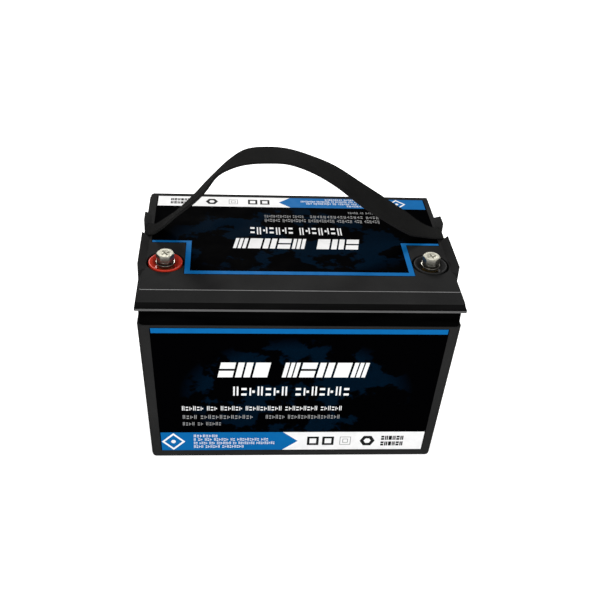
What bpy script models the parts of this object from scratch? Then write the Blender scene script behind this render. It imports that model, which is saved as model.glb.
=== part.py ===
"""Deep cycle battery: a drop-in lithium battery case with its lid, terminals, webbing carrying
strap, cells, busbars, management board and leads.

Frame: +X to the right along the long side, +Y to the rear, +Z up. The origin is the middle of the
underside, and the front face looks towards -Y. Units are metres.
"""

import math

import bmesh
import bpy
from mathutils import Matrix, Vector

MM = 0.001
GAP = 0.3 * MM  # clearance between pieces that touch

# Case: a tapered box, with a plain band under the lid's lip.
BASE_HALF = (122.5 * MM, 83.5 * MM)
PANEL_TOP_HALF = (129.0 * MM, 88.0 * MM)
PANEL_TOP_Z = 144.0 * MM
BAND_HALF = (127.6 * MM, 87.2 * MM)
BAND_STEP = 0.8 * MM
RIM_Z = 160.4 * MM
WALL = 3.2 * MM
FLOOR = 3.2 * MM
CASE_CORNER = 5.0 * MM
FOOT_ROUNDING = 2.0 * MM
PANEL_POCKET = 0.9 * MM  # depth of the shallow recess in each wall
END_PANEL_HALF = (78.0 * MM, 75.0 * MM)  # half widths at the top and the bottom

# Lid: a flat plate, a shoulder sloping down to the lip, and upright ears beside the strap's slots.
LIP_HALF = (130.0 * MM, 90.0 * MM)
LIP_BOTTOM_Z = 159.8 * MM
LIP_TOP_Z = 162.0 * MM
PLATE_HALF = (126.0 * MM, 78.0 * MM)
PLATE_Z = 172.0 * MM
SHOULDER_Z = 166.3 * MM
SHOULDER_HALF = (128.6 * MM, 86.6 * MM)
LID_FOOT_HALF = (129.2 * MM, 88.8 * MM)
LIP_BREAK = 0.7 * MM  # height of the small slope on top of the lip
LID_CEILING_Z = 168.5 * MM
LID_CEILING_HALF = (122.0 * MM, 75.0 * MM)
LID_SEAT_Z = 161.7 * MM
LID_CORNER = 1.2 * MM
EAR_TOP_Z = 177.4 * MM
EAR_X = (123.6 * MM, 129.3 * MM, 129.9 * MM)  # foot of the ramp, top of the ramp, outer face
EAR_FRONT_Y = -49.5 * MM
EAR_SLOPE_Y = (34.0 * MM, 51.0 * MM)
SLOT_FACE_X = 125.5 * MM
SLOT_Y = (-0.5 * MM, 20.5 * MM)
SLOT_FLOOR_Z = 162.4 * MM
CLEAR = 5.0 * MM  # how far a cutter runs past the face it opens
ROOT = 1.0 * MM  # how far a joined piece is sunk in what carries it

# Labels: thin sheets in shallow pockets.
LABEL_THICK = 0.6 * MM
TOP_LABEL_PROUD = 0.1 * MM
TOP_LABEL_HALF_X = 121.5 * MM
TOP_LABEL_REAR_Y = 73.0 * MM
TOP_LABEL_STEP_Y = -8.0 * MM
TOP_LABEL_FRONT_Y = -55.8 * MM
TOP_LABEL_FRONT_HALF_X = 93.0 * MM
FRONT_LABEL_HALF = (119.0 * MM, 114.0 * MM)
FRONT_LABEL_Z = (7.5 * MM, 142.5 * MM)

# Terminals: a coloured dished ring, a brass insert, washers and an M8 bolt, in a well in the lid.
TERMINAL_X = 108.5 * MM
TERMINAL_Y = -38.0 * MM
WELL_RADIUS = 15.5 * MM
WELL_FLOOR_Z = 163.5 * MM
CUP_RADIUS = 17.5 * MM
CUP_BOTTOM_Z = 161.9 * MM
RING_RADIUS = 13.7 * MM
RING_RIM_Z = 172.3 * MM
DISH_Z = 167.0 * MM
DISH_RADII = (8.6 * MM, 11.9 * MM, 12.7 * MM, 13.3 * MM)  # foot and top of the dish, ends of the rim
INSERT_HOLE_RADIUS = 6.9 * MM
INSERT_NECK_RADIUS = 6.5 * MM
INSERT_TOP_Z = 168.9 * MM
INSERT_FLANGE_RADIUS = 11.0 * MM
INSERT_FLANGE_Z = (155.2 * MM, 158.6 * MM)
INSERT_STUB_RADIUS = 5.0 * MM
INSERT_BOTTOM_Z = 144.0 * MM
BOLT_BORE_RADIUS = 4.35 * MM
BOLT_BORE_BOTTOM_Z = 150.0 * MM
BOLT_RADIUS = 4.0 * MM
BOLT_END_Z = 154.2 * MM
BOLT_CHAMFER = 0.8 * MM
HEX_FLATS = 13.0 * MM
HEX_CORNER_RADIUS = HEX_FLATS / 2 / math.cos(math.pi / 6)
HEAD_HEIGHT = 5.3 * MM
HEAD_FACE_RADIUS = 6.3 * MM  # flat top inside the head's corner chamfer
HEAD_CHAMFER = 0.8 * MM
DIMPLE_RADII = (2.6 * MM, 4.3 * MM)
DIMPLE_DEPTH = 0.5 * MM
CROSS_SLOT = (7.4 * MM, 1.7 * MM, 2.4 * MM)  # length, width and depth of the cross recess
LUG_ROOM = 2.1 * MM  # free height over the insert: the bolts are screwed in short of tight
WASHER_HOLE_RADIUS = 4.45 * MM
FLAT_WASHER_RADIUS = 8.0 * MM
FLAT_WASHER_THICK = 1.6 * MM
SPRING_WASHER_RADIUS = 6.9 * MM
SPRING_WASHER_THICK = 1.9 * MM
SPRING_SPLIT = 1.2 * MM
SPRING_SPLIT_TURN = math.radians(35)
LUG_THICK = 2.2 * MM
LUG_RADIUS = 9.0 * MM
LEAD_NUT_RADIUS = 8.4 * MM
LEAD_NUT_HEIGHT = 4.5 * MM

# Strap: flat webbing that swings on two pins, one in each slot in the lid's ends.
STRAP_WIDTH = 26.0 * MM
STRAP_END_WIDTH = 17.5 * MM
STRAP_WIDENING_Z = (174.2 * MM, 184.0 * MM)
STRAP_THICK = 2.0 * MM
STRAP_Y = 10.0 * MM
STRAP_AXIS_Z = 166.5 * MM
STRAP_END_X = 127.8 * MM
STRAP_SPLIT_Z = 205.0 * MM
PIN_RADIUS = 2.0 * MM
PIN_HEAD_RADIUS = 3.6 * MM
PIN_DEPTH = 4.5 * MM  # how far the shank reaches in from the webbing's middle
PIN_CHAMFER = 0.3 * MM
# Middle line of the webbing: x, z, and how far its rear edge stands above its front edge.
STRAP_ROUTE = (
    (-127.8, 163.0, 0.0),
    (-127.8, 168.6, 0.0),
    (-127.5, 171.4, 0.0),
    (-126.3, 173.2, 0.0),
    (-123.0, 173.9, 0.0),
    (-118.0, 175.4, -2.5),
    (-104.0, 187.0, -8.0),
    (-88.0, 202.4, -6.0),
    (-78.0, 214.0, -5.0),
    (-68.0, 227.0, -8.0),
    (-57.0, 236.4, -4.0),
    (-44.0, 243.0, 1.0),
    (-27.0, 245.0, 2.0),
    (-9.0, 243.8, 1.5),
    (11.0, 237.0, 3.0),
    (31.0, 226.5, 7.0),
    (54.0, 210.0, 11.0),
    (78.0, 194.3, 11.0),
    (97.0, 182.6, 8.5),
    (110.0, 176.6, 5.0),
    (118.0, 174.4, 1.5),
    (123.0, 173.9, 0.0),
    (126.3, 173.2, 0.0),
    (127.5, 171.4, 0.0),
    (127.8, 168.6, 0.0),
    (127.8, 163.0, 0.0),
)

# Inside: four prismatic cells in series, with foam between and at the ends.
CELL_SIZE = (50.0 * MM, 156.0 * MM, 122.0 * MM)
CELL_PAD_THICK = 1.8 * MM
CELL_PITCH = CELL_SIZE[0] + CELL_PAD_THICK + 2 * GAP
CELL_BASE_Z = 5.6 * MM
CELL_TOP_Z = CELL_BASE_Z + CELL_SIZE[2]
CELL_POST_Y = 52.0 * MM
POST_SIZE = (18.0 * MM, 20.0 * MM, 2.0 * MM)
STUD_RADIUS = 3.0 * MM
STUD_HEIGHT = 9.0 * MM
CELL_ROUNDING = 2.5 * MM
VENT_RADIUS = 8.0 * MM
VENT_DEPTH = 0.5 * MM
PACKING_INSET = 2.0 * MM  # foam stops short of the cells' front and rear faces
PAD_BELOW_TOP = 4.0 * MM
END_FOAM_THICK = 14.0 * MM
END_FOAM_BELOW_TOP = 10.0 * MM
BUSBAR_THICK = 2.0 * MM
BUSBAR_WIDTH = 18.0 * MM
BUSBAR_RISE = 3.0 * MM
BUSBAR_HUMP_X = (8.0 * MM, 12.0 * MM)  # ends of the raised middle and of its slopes
CELL_NUT_RADIUS = 5.7 * MM
CELL_NUT_HEIGHT = 5.0 * MM
THREAD_CLEARANCE = 0.35 * MM
BOARD_Z = CELL_TOP_Z + 12.0 * MM
BOARD_SIZE = (184.0 * MM, 136.0 * MM, 2.0 * MM)
BMS_CENTRE = (0.0, 4.0 * MM)
BMS_SIZE = (116.0 * MM, 84.0 * MM, 1.6 * MM)
BMS_Z = BOARD_Z + 5.2 * MM
BMS_FOOT_RADIUS = 3.0 * MM
BMS_FOOT_INSET = 6.0 * MM
SINK_SIZE = (92.0 * MM, 56.0 * MM, 10.0 * MM)
SINK_GROOVES = 7
SINK_GROOVE_WIDTH = 4.8 * MM
SINK_PITCH = 8.0 * MM
SINK_BASE = 3.0 * MM
HOLD_DOWN_HALF = (34.0 * MM, 22.0 * MM)
CONNECTOR_SIZE = (8.0 * MM, 18.0 * MM, 7.0 * MM)
CONNECTOR_INSET = 1.0 * MM
HARNESS_RADIUS = 1.8 * MM
LEAD_RADIUS = 3.4 * MM
LUG_TONGUE_HALF = 5.0 * MM
LUG_REACH = (13.0 * MM, 16.0 * MM)  # at a cell and under a terminal
LEAD_PAD_INSET = 5.5 * MM  # from the heat sink's end to where a lead meets the board

SMOOTH_ANGLE = math.radians(35)
ROUND_STEPS = 32
SMALL_STEPS = 20


# ---------------------------------------------------------------- scene and materials


def clear_scene():
    for obj in list(bpy.data.objects):
        bpy.data.objects.remove(obj, do_unlink=True)
    for group in list(bpy.data.collections):
        bpy.data.collections.remove(group)


def new_collection(name, hidden=False):
    group = bpy.data.collections.new(name)
    bpy.context.scene.collection.children.link(group)
    group.hide_render = hidden
    return group


clear_scene()
PARTS = new_collection("deep_cycle_battery")
CUTTERS = new_collection("cutters", hidden=True)


def new_material(name, colour, roughness, metallic=0.0):
    made = bpy.data.materials.new(name)
    made.use_nodes = True
    shader = made.node_tree.nodes["Principled BSDF"]
    shader.inputs["Base Color"].default_value = (*colour, 1.0)
    shader.inputs["Roughness"].default_value = roughness
    shader.inputs["Metallic"].default_value = metallic
    return made


BLACK_PLASTIC = new_material("black_case_plastic", (0.022, 0.022, 0.022), 0.45)
LABEL_FILM = new_material("label_film", (0.006, 0.008, 0.012), 0.25)
WEBBING = new_material("black_webbing", (0.012, 0.012, 0.012), 0.85)
RED_PLASTIC = new_material("red_terminal_plastic", (0.55, 0.012, 0.008), 0.3)
TERMINAL_BLACK = new_material("black_terminal_plastic", (0.015, 0.015, 0.015), 0.35)
NICKEL = new_material("nickel_plate", (0.72, 0.70, 0.64), 0.22, 1.0)
BRASS = new_material("brass", (0.68, 0.48, 0.20), 0.3, 1.0)
RUBBER = new_material("black_rubber", (0.01, 0.01, 0.01), 0.7)
CELL_FILM = new_material("blue_cell_film", (0.02, 0.10, 0.35), 0.35)
FOAM = new_material("grey_foam", (0.12, 0.12, 0.12), 0.95)
COPPER = new_material("tinned_copper", (0.70, 0.66, 0.60), 0.3, 1.0)
FIBRE_BOARD = new_material("fibre_board", (0.10, 0.22, 0.08), 0.6)
CIRCUIT_BOARD = new_material("green_circuit_board", (0.01, 0.12, 0.04), 0.4)
ALUMINIUM = new_material("aluminium", (0.75, 0.75, 0.76), 0.35, 1.0)
RED_CABLE = new_material("red_cable", (0.45, 0.01, 0.01), 0.45)
BLACK_CABLE = new_material("black_cable", (0.015, 0.015, 0.015), 0.45)
WHITE_NYLON = new_material("white_nylon", (0.7, 0.7, 0.66), 0.5)


# ---------------------------------------------------------------- building blocks


def add_object(name, mesh, material, smooth=False):
    """A finished part, linked to the parts; without a material it is a helper, hidden in renders."""
    obj = bpy.data.objects.new(name, mesh)
    if material:
        PARTS.objects.link(obj)
        if not mesh.materials:
            mesh.materials.append(material)
    else:
        CUTTERS.objects.link(obj)
        obj.hide_render = True
        obj.display_type = "WIRE"
    if smooth:
        mesh.shade_smooth()
        mesh.set_sharp_from_angle(angle=SMOOTH_ANGLE)
    return obj


def object_from(name, bm, material, smooth=False):
    bmesh.ops.recalc_face_normals(bm, faces=bm.faces[:])
    mesh = bpy.data.meshes.new(name)
    bm.to_mesh(mesh)
    bm.free()
    return add_object(name, mesh, material, smooth)


def settled(obj, smooth=False):
    """The object with its modifiers made real, so that copies can share the mesh."""
    bpy.context.view_layer.update()
    graph = bpy.context.evaluated_depsgraph_get()
    mesh = bpy.data.meshes.new_from_object(obj.evaluated_get(graph))
    bm = bmesh.new()
    bm.from_mesh(mesh)
    bmesh.ops.remove_doubles(bm, verts=bm.verts[:], dist=0.002 * MM)
    bmesh.ops.recalc_face_normals(bm, faces=bm.faces[:])
    bm.to_mesh(mesh)
    bm.free()
    if smooth:
        mesh.shade_smooth()
        mesh.set_sharp_from_angle(angle=SMOOTH_ANGLE)
    obj.modifiers.clear()
    if obj.type == "MESH":
        obj.data = mesh
        return obj
    made = bpy.data.objects.new(obj.name, mesh)
    made.matrix_world = obj.matrix_world
    for group in obj.users_collection:
        group.objects.link(made)
    name = obj.name
    bpy.data.objects.remove(obj)
    made.name = name
    return made


def combine(target, tool, operation):
    """Adds a Boolean; the tool becomes a hidden helper."""
    if tool.name in PARTS.objects:
        PARTS.objects.unlink(tool)
        CUTTERS.objects.link(tool)
    tool.hide_render = True
    tool.display_type = "WIRE"
    modifier = target.modifiers.new(tool.name, "BOOLEAN")
    modifier.operation = operation
    modifier.solver = "EXACT"
    modifier.object = tool


def cut(target, *tools):
    for tool in tools:
        combine(target, tool, "DIFFERENCE")


def join(target, *tools):
    for tool in tools:
        combine(target, tool, "UNION")


def block(name, low, high, material=None, bevel=0.0, bevel_segments=2):
    """A box between two corners, with all its edges rounded if bevel is given."""
    low, high = Vector(low), Vector(high)
    bm = bmesh.new()
    size = high - low
    matrix = Matrix.Translation((low + high) / 2) @ Matrix.Diagonal((*size, 1.0))
    bmesh.ops.create_cube(bm, size=1.0, matrix=matrix)
    if bevel:
        bmesh.ops.bevel(
            bm, geom=bm.edges[:], offset=bevel, segments=bevel_segments, profile=0.5, affect="EDGES"
        )
    return object_from(name, bm, material, smooth=bool(bevel))


def cylinder(name, centre, radius, low_z, high_z, material=None, steps=ROUND_STEPS):
    bm = bmesh.new()
    middle = Matrix.Translation((centre[0], centre[1], (low_z + high_z) / 2))
    bmesh.ops.create_cone(
        bm, cap_ends=True, segments=steps, radius1=radius, radius2=radius,
        depth=high_z - low_z, matrix=middle,
    )
    return object_from(name, bm, material, smooth=True)


def turned(name, centre, profile, material=None, steps=ROUND_STEPS, ring=False):
    """A profile of (radius, z) points, from the top down its outer side, turned about Z."""
    mesh = bpy.data.meshes.new(name)
    points = [(radius, 0.0, height) for radius, height in profile]
    edges = [(i, i + 1) for i in range(len(points) - 1)]
    if ring:
        edges.append((len(points) - 1, 0))
    mesh.from_pydata(points, edges, [])
    obj = add_object(name, mesh, material)
    screw = obj.modifiers.new("turn", "SCREW")
    screw.axis = "Z"
    screw.angle = math.tau
    screw.steps = steps
    screw.render_steps = steps
    screw.use_merge_vertices = True
    screw.merge_threshold = 0.01 * MM
    settled(obj, smooth=True)
    obj.location = (*centre, 0.0)
    return obj


def with_origin(obj, origin):
    """The same shape in the same place, its origin moved from the world's to a point on its axis."""
    obj.data.transform(Matrix.Translation([-value for value in origin]))
    obj.location = origin
    return obj


def rounded_outline(half_x, half_y, radius, steps=3):
    """Corner points of a rectangle with rounded corners, anticlockwise."""
    points = []
    for quarter, (side_x, side_y) in enumerate(((1, 1), (-1, 1), (-1, -1), (1, -1))):
        for step in range(steps + 1):
            angle = (quarter + step / steps) * math.pi / 2
            points.append((
                side_x * (half_x - radius) + radius * math.cos(angle),
                side_y * (half_y - radius) + radius * math.sin(angle),
            ))
    return points


def lofted(name, outlines, material=None, closed_loop=False, smooth=False):
    """Joins outlines with equal counts of 3-D points; its ends are capped unless it closes on itself."""
    bm = bmesh.new()
    rings = [[bm.verts.new(point) for point in outline] for outline in outlines]
    count = len(rings[0])
    pairs = list(zip(rings, rings[1:]))
    if closed_loop:
        pairs.append((rings[-1], rings[0]))
    for lower, upper in pairs:
        for i in range(count):
            j = (i + 1) % count
            bm.faces.new((lower[i], lower[j], upper[j], upper[i]))
    if not closed_loop:
        bm.faces.new(rings[0])
        bm.faces.new(rings[-1])
    return object_from(name, bm, material, smooth)


def stacked(rows, corner):
    """Rounded rectangles at rising or falling heights: rows of (z, half x, half y)."""
    return [
        [(x, y, z) for x, y in rounded_outline(half_x, half_y, corner)]
        for z, half_x, half_y in rows
    ]


def extruded(name, outline, thickness, material=None):
    """A flat outline in XY made into a plate from z = 0 up, as a filled 2-D curve."""
    curve = bpy.data.curves.new(name, "CURVE")
    curve.dimensions = "2D"
    curve.fill_mode = "BOTH"
    curve.extrude = thickness / 2
    spline = curve.splines.new("POLY")
    spline.points.add(len(outline) - 1)
    for point, (x, y) in zip(spline.points, outline):
        point.co = (x, y, 0.0, 1.0)
    spline.use_cyclic_u = True
    obj = bpy.data.objects.new(name, curve)
    (PARTS if material else CUTTERS).objects.link(obj)
    made = settled(obj)
    if material:
        made.data.materials.append(material)
    else:
        made.hide_render = True
        made.display_type = "WIRE"
    made.data.transform(Matrix.Translation((0.0, 0.0, thickness / 2)))
    return made


def smooth_route(points, per_span):
    """Points on a Catmull-Rom curve through the given ones."""
    points = [Vector(point) for point in points]
    ends = [2 * points[0] - points[1], *points, 2 * points[-1] - points[-2]]
    made = []
    for a, b, c, d in zip(ends, ends[1:], ends[2:], ends[3:]):
        for step in range(per_span):
            t = step / per_span
            made.append(
                0.5 * (2 * b + (c - a) * t + (2 * a - 5 * b + 4 * c - d) * t**2
                       + (3 * b - a - 3 * c + d) * t**3)
            )
    made.append(points[-1])
    return made


def tube(name, route, radius, material=None, per_span=3):
    """A round cable along a smooth route."""
    curve = bpy.data.curves.new(name, "CURVE")
    curve.dimensions = "3D"
    curve.bevel_depth = radius
    curve.bevel_resolution = 2
    curve.use_fill_caps = True
    spline = curve.splines.new("POLY")
    points = smooth_route(route, per_span)
    spline.points.add(len(points) - 1)
    for point, place in zip(spline.points, points):
        point.co = (*place, 1.0)
    obj = bpy.data.objects.new(name, curve)
    (PARTS if material else CUTTERS).objects.link(obj)
    made = settled(obj, smooth=True)
    if material:
        made.data.materials.append(material)
    return made


def copy_of(source, name, location, turn=0.0):
    made = bpy.data.objects.new(name, source.data)
    made.location = location
    made.rotation_euler = (0.0, 0.0, turn)
    PARTS.objects.link(made)
    return made


# ---------------------------------------------------------------- case


def half_at(z):
    """The outer half length and half depth of the tapered panels at a height."""
    share = z / PANEL_TOP_Z
    return [low + (high - low) * share for low, high in zip(BASE_HALF, PANEL_TOP_HALF)]


def panel_plate(name, half_top, half_bottom, z_range, side, outset, thickness, material=None):
    """A plate lying along one tapered wall (side 0 front, 1 right, 2 rear, 3 left).

    outset is how far its outer face stands out of the wall; its outline is a trapezium.
    """
    axis = side % 2
    wall = 1 if axis == 0 else 0
    lean = math.atan2(PANEL_TOP_HALF[wall] - BASE_HALF[wall], PANEL_TOP_Z)
    low, high = z_range
    outline = [(-half_bottom, low), (half_bottom, low), (half_top, high), (-half_top, high)]
    slope = 1.0 / math.cos(lean)
    plate = extruded(name, [(x, z * slope) for x, z in outline], thickness, material)
    stand = Matrix.Rotation(math.pi / 2 + lean, 4, "X")
    place = Matrix.Translation((0.0, -BASE_HALF[wall], 0.0))
    shift = Matrix.Translation((0.0, 0.0, outset - thickness))
    spin = Matrix.Rotation(side * math.pi / 2, 4, "Z")
    plate.data.transform(spin @ place @ stand @ shift)
    return plate


def make_case():
    foot = FOOT_ROUNDING
    outer = [
        (0.0, BASE_HALF[0] - foot, BASE_HALF[1] - foot),
        (foot * 0.4, BASE_HALF[0] - foot * 0.4, BASE_HALF[1] - foot * 0.4),
        (foot, *half_at(foot)),
        (PANEL_TOP_Z, *PANEL_TOP_HALF),
        (PANEL_TOP_Z + BAND_STEP, *BAND_HALF),
        (RIM_Z, *BAND_HALF),
    ]
    inner = [
        (RIM_Z, BAND_HALF[0] - WALL, BAND_HALF[1] - WALL),
        (PANEL_TOP_Z, BAND_HALF[0] - WALL, BAND_HALF[1] - WALL),
        (FLOOR, *[half - WALL for half in half_at(FLOOR)]),
    ]
    rows = stacked(outer, CASE_CORNER) + stacked(inner, CASE_CORNER - WALL)
    case = lofted("case_box", rows, BLACK_PLASTIC, smooth=True)
    for side in range(4):
        half_top, half_bottom = END_PANEL_HALF if side % 2 else FRONT_LABEL_HALF
        pocket = panel_plate(
            f"panel_pocket_{side}", half_top + GAP, half_bottom + GAP,
            (FRONT_LABEL_Z[0] - GAP, FRONT_LABEL_Z[1] + GAP),
            side, PANEL_POCKET, 2 * PANEL_POCKET,
        )
        cut(case, pocket)
    panel_plate("front_label", *FRONT_LABEL_HALF, FRONT_LABEL_Z, 0, 0.0, LABEL_THICK, LABEL_FILM)


def make_seal():
    low, high = RIM_Z + GAP, LID_SEAT_Z - GAP
    inset = 0.6 * MM
    outer = [half - inset for half in BAND_HALF]
    inner = [half - WALL + inset for half in BAND_HALF]
    rows = [(low, *outer), (high, *outer), (high, *inner), (low, *inner)]
    lofted("lid_seal", stacked(rows, CASE_CORNER - WALL), RUBBER, closed_loop=True)


# ---------------------------------------------------------------- lid and labels


def ear_wedge(name, side, front, flat_end, rear):
    """A wedge on the lid's end that ramps up to its outer face; it slopes down between flat_end and rear."""
    root = LIP_TOP_Z - ROOT / 10
    rings = []
    for x, top in zip(EAR_X, (PLATE_Z - ROOT / 10, EAR_TOP_Z, EAR_TOP_Z)):
        outline = [(front, root), (rear, root)]
        if rear > flat_end:
            outline.append((rear, min(top, SHOULDER_Z)))
        outline += [(flat_end, top), (front, top)]
        rings.append([(side * x, y, z) for y, z in outline])
    return lofted(name, rings)


def top_label_blocks(name, margin, low_z, high_z, material=None):
    """The label's wide part, and its narrow part between the terminals, as two overlapping plates."""
    wide = TOP_LABEL_HALF_X + margin
    narrow = TOP_LABEL_FRONT_HALF_X + margin
    rear = TOP_LABEL_REAR_Y + margin
    step = TOP_LABEL_STEP_Y - margin
    front = TOP_LABEL_FRONT_Y - margin
    return (
        block(name, (-wide, step, low_z), (wide, rear, high_z), material),
        block(f"{name}_tongue", (-narrow, front, low_z), (narrow, step + CLEAR, high_z)),
    )


def strap_bore(name, x, steps):
    """A cutter on the strap's axis for a pin's hole."""
    bore = cylinder(name, (0, 0), PIN_RADIUS + GAP, -4 * MM, 4 * MM, steps=steps)
    turn = Matrix.Rotation(math.pi / 2, 4, "Y")
    bore.data.transform(Matrix.Translation((x, STRAP_Y, STRAP_AXIS_Z)) @ turn)
    return bore


def make_lid():
    inner_foot = [half + GAP for half in BAND_HALF]
    rows = [
        (LID_CEILING_Z, *LID_CEILING_HALF),
        (LID_SEAT_Z, BAND_HALF[0] - WALL, BAND_HALF[1] - WALL),
        (LID_SEAT_Z, *inner_foot),
        (LIP_BOTTOM_Z, *inner_foot),
        (LIP_BOTTOM_Z, *LIP_HALF),
        (LIP_TOP_Z, *LIP_HALF),
        (LIP_TOP_Z + LIP_BREAK, *LID_FOOT_HALF),
        (SHOULDER_Z, *SHOULDER_HALF),
        (PLATE_Z, *PLATE_HALF),
    ]
    lid = lofted("case_lid", stacked(rows, LID_CORNER), BLACK_PLASTIC, smooth=True)
    for side, end in ((-1, "left"), (1, "right")):
        front_end, rear_end = SLOT_Y
        join(
            lid,
            ear_wedge(f"front_ear_{end}", side, EAR_FRONT_Y, front_end, front_end),
            ear_wedge(f"rear_ear_{end}", side, rear_end, *EAR_SLOPE_Y),
        )
        centre = (side * TERMINAL_X, TERMINAL_Y)
        join(lid, cylinder(f"cup_{end}", centre, CUP_RADIUS, CUP_BOTTOM_Z, PLATE_Z - ROOT))
        cut(lid, cylinder(f"well_{end}", centre, WELL_RADIUS, WELL_FLOOR_Z, PLATE_Z + CLEAR))
        hole = cylinder(
            f"insert_hole_{end}", centre, INSERT_HOLE_RADIUS, CUP_BOTTOM_Z - CLEAR, PLATE_Z
        )
        cut(lid, hole)
        xs = sorted((side * SLOT_FACE_X, side * (LIP_HALF[0] + CLEAR)))
        slot_low = (xs[0], SLOT_Y[0], SLOT_FLOOR_Z)
        slot_high = (xs[1], SLOT_Y[1], EAR_TOP_Z + CLEAR)
        cut(lid, block(f"strap_slot_{end}", slot_low, slot_high))
        cut(lid, strap_bore(f"pin_hole_{end}", side * SLOT_FACE_X, ROUND_STEPS))
    label_top = PLATE_Z + TOP_LABEL_PROUD
    label_low = label_top - LABEL_THICK
    cut(lid, *top_label_blocks("label_pocket", GAP, label_low - GAP, label_top + CLEAR))
    join(*top_label_blocks("top_label", 0.0, label_low, label_top, LABEL_FILM))


# ---------------------------------------------------------------- terminals


def ring_profile(inner, outer, low, high):
    return [(outer, high), (outer, low), (inner, low), (inner, high)]


def cross_recess(name, top_z):
    """A cutter on the world's Z axis: two crossed slots."""
    length, width, depth = CROSS_SLOT
    low, high = top_z - depth, top_z + depth
    bars = [
        block(f"{name}_{i}", (-x, -y, low), (x, y, high))
        for i, (x, y) in enumerate(((length / 2, width / 2), (width / 2, length / 2)))
    ]
    join(bars[0], bars[1])
    return settled(bars[0])


def hex_nut(name, centre, radius, bore, low_z, high_z, material=None):
    nut = cylinder(name, centre, radius, low_z, high_z, material, steps=6)
    nut.data.shade_flat()
    cut(nut, cylinder(f"{name}_bore", centre, bore, low_z - CLEAR, high_z + CLEAR, steps=SMALL_STEPS))
    return nut


def make_terminal(side, sign, ring_material, head_turn):
    centre = (side * TERMINAL_X, TERMINAL_Y)
    floor = WELL_FLOOR_Z + GAP
    dish_foot, dish_top, rim_inner, rim_outer = DISH_RADII
    dish = [
        (rim_inner, RING_RIM_Z),
        (rim_outer, RING_RIM_Z - 0.3 * MM),
        (RING_RADIUS, RING_RIM_Z - 1.0 * MM),
        (RING_RADIUS, floor),
        (INSERT_HOLE_RADIUS, floor),
        (INSERT_HOLE_RADIUS, DISH_Z),
        (dish_foot, DISH_Z),
        (dish_top, RING_RIM_Z - 0.7 * MM),
    ]
    turned(f"terminal_ring_{sign}", centre, dish, ring_material, ring=True)

    flange_low, flange_high = INSERT_FLANGE_Z
    insert = turned(
        f"terminal_insert_{sign}", centre,
        [
            (BOLT_BORE_RADIUS, INSERT_TOP_Z),
            (INSERT_NECK_RADIUS, INSERT_TOP_Z),
            (INSERT_NECK_RADIUS, flange_high),
            (INSERT_FLANGE_RADIUS, flange_high),
            (INSERT_FLANGE_RADIUS, flange_low),
            (INSERT_STUB_RADIUS, flange_low),
            (INSERT_STUB_RADIUS, INSERT_BOTTOM_Z),
            (0.0, INSERT_BOTTOM_Z),
        ],
        BRASS, steps=SMALL_STEPS,
    )
    close_bore(insert)

    oring_radius = (CUP_BOTTOM_Z - flange_high) / 2 - GAP
    oring_z = (CUP_BOTTOM_Z + flange_high) / 2
    loop = [
        (
            INSERT_NECK_RADIUS + 0.4 * MM + oring_radius * (1 + math.cos(angle)),
            oring_z + oring_radius * math.sin(angle),
        )
        for angle in (-math.tau * step / 6 for step in range(6))
    ]
    turned(f"terminal_oring_{sign}", centre, loop, RUBBER, steps=SMALL_STEPS, ring=True)

    washer_low = INSERT_TOP_Z + LUG_ROOM
    washer_high = washer_low + FLAT_WASHER_THICK
    turned(
        f"flat_washer_{sign}", centre,
        ring_profile(WASHER_HOLE_RADIUS, FLAT_WASHER_RADIUS, washer_low, washer_high),
        NICKEL, ring=True,
    )
    spring_low = washer_high + GAP
    spring_high = spring_low + SPRING_WASHER_THICK
    spring = turned(
        f"spring_washer_{sign}", centre,
        ring_profile(WASHER_HOLE_RADIUS, SPRING_WASHER_RADIUS, spring_low, spring_high),
        NICKEL, ring=True,
    )
    split = block(
        f"spring_split_{sign}",
        (-SPRING_SPLIT / 2, -SPRING_WASHER_RADIUS - CLEAR, spring_low - CLEAR),
        (SPRING_SPLIT / 2, 0.0, spring_high + CLEAR),
    )
    split.rotation_euler.z = SPRING_SPLIT_TURN
    split.location = (*centre, 0.0)
    cut(spring, split)

    make_bolt(sign, centre, spring_high + GAP, head_turn)

    nut_high = INSERT_FLANGE_Z[0] - LUG_THICK - 2 * GAP
    hex_nut(
        f"lead_nut_{sign}", centre, LEAD_NUT_RADIUS, INSERT_STUB_RADIUS + THREAD_CLEARANCE,
        nut_high - LEAD_NUT_HEIGHT, nut_high, BRASS,
    )


def make_bolt(sign, centre, head_low, turn):
    """A hexagon bolt with a dimpled, cross-recessed head; turn is how far the hexagon is turned."""
    face_z = head_low + HEAD_HEIGHT
    dimple_inner, dimple_outer = DIMPLE_RADII
    bolt = turned(
        f"terminal_bolt_{sign}", centre,
        [
            (0.0, face_z - DIMPLE_DEPTH),
            (dimple_inner, face_z - DIMPLE_DEPTH),
            (dimple_outer, face_z),
            (HEAD_FACE_RADIUS, face_z),
            (HEX_CORNER_RADIUS + GAP, face_z - HEAD_CHAMFER),
            (HEX_CORNER_RADIUS + GAP, head_low),
            (BOLT_RADIUS, head_low),
            (BOLT_RADIUS, BOLT_END_Z + BOLT_CHAMFER),
            (BOLT_RADIUS - BOLT_CHAMFER, BOLT_END_Z),
            (0.0, BOLT_END_Z),
        ],
        NICKEL,
    )
    hexagon = cylinder(
        f"bolt_hexagon_{sign}", (0, 0), HEX_CORNER_RADIUS, BOLT_END_Z - CLEAR, face_z + CLEAR, steps=6
    )
    recess = cross_recess(f"bolt_recess_{sign}", face_z)
    for tool in (hexagon, recess):
        tool.location = (*centre, 0.0)
        tool.rotation_euler.z = turn
    combine(bolt, hexagon, "INTERSECT")
    cut(bolt, recess)


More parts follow.
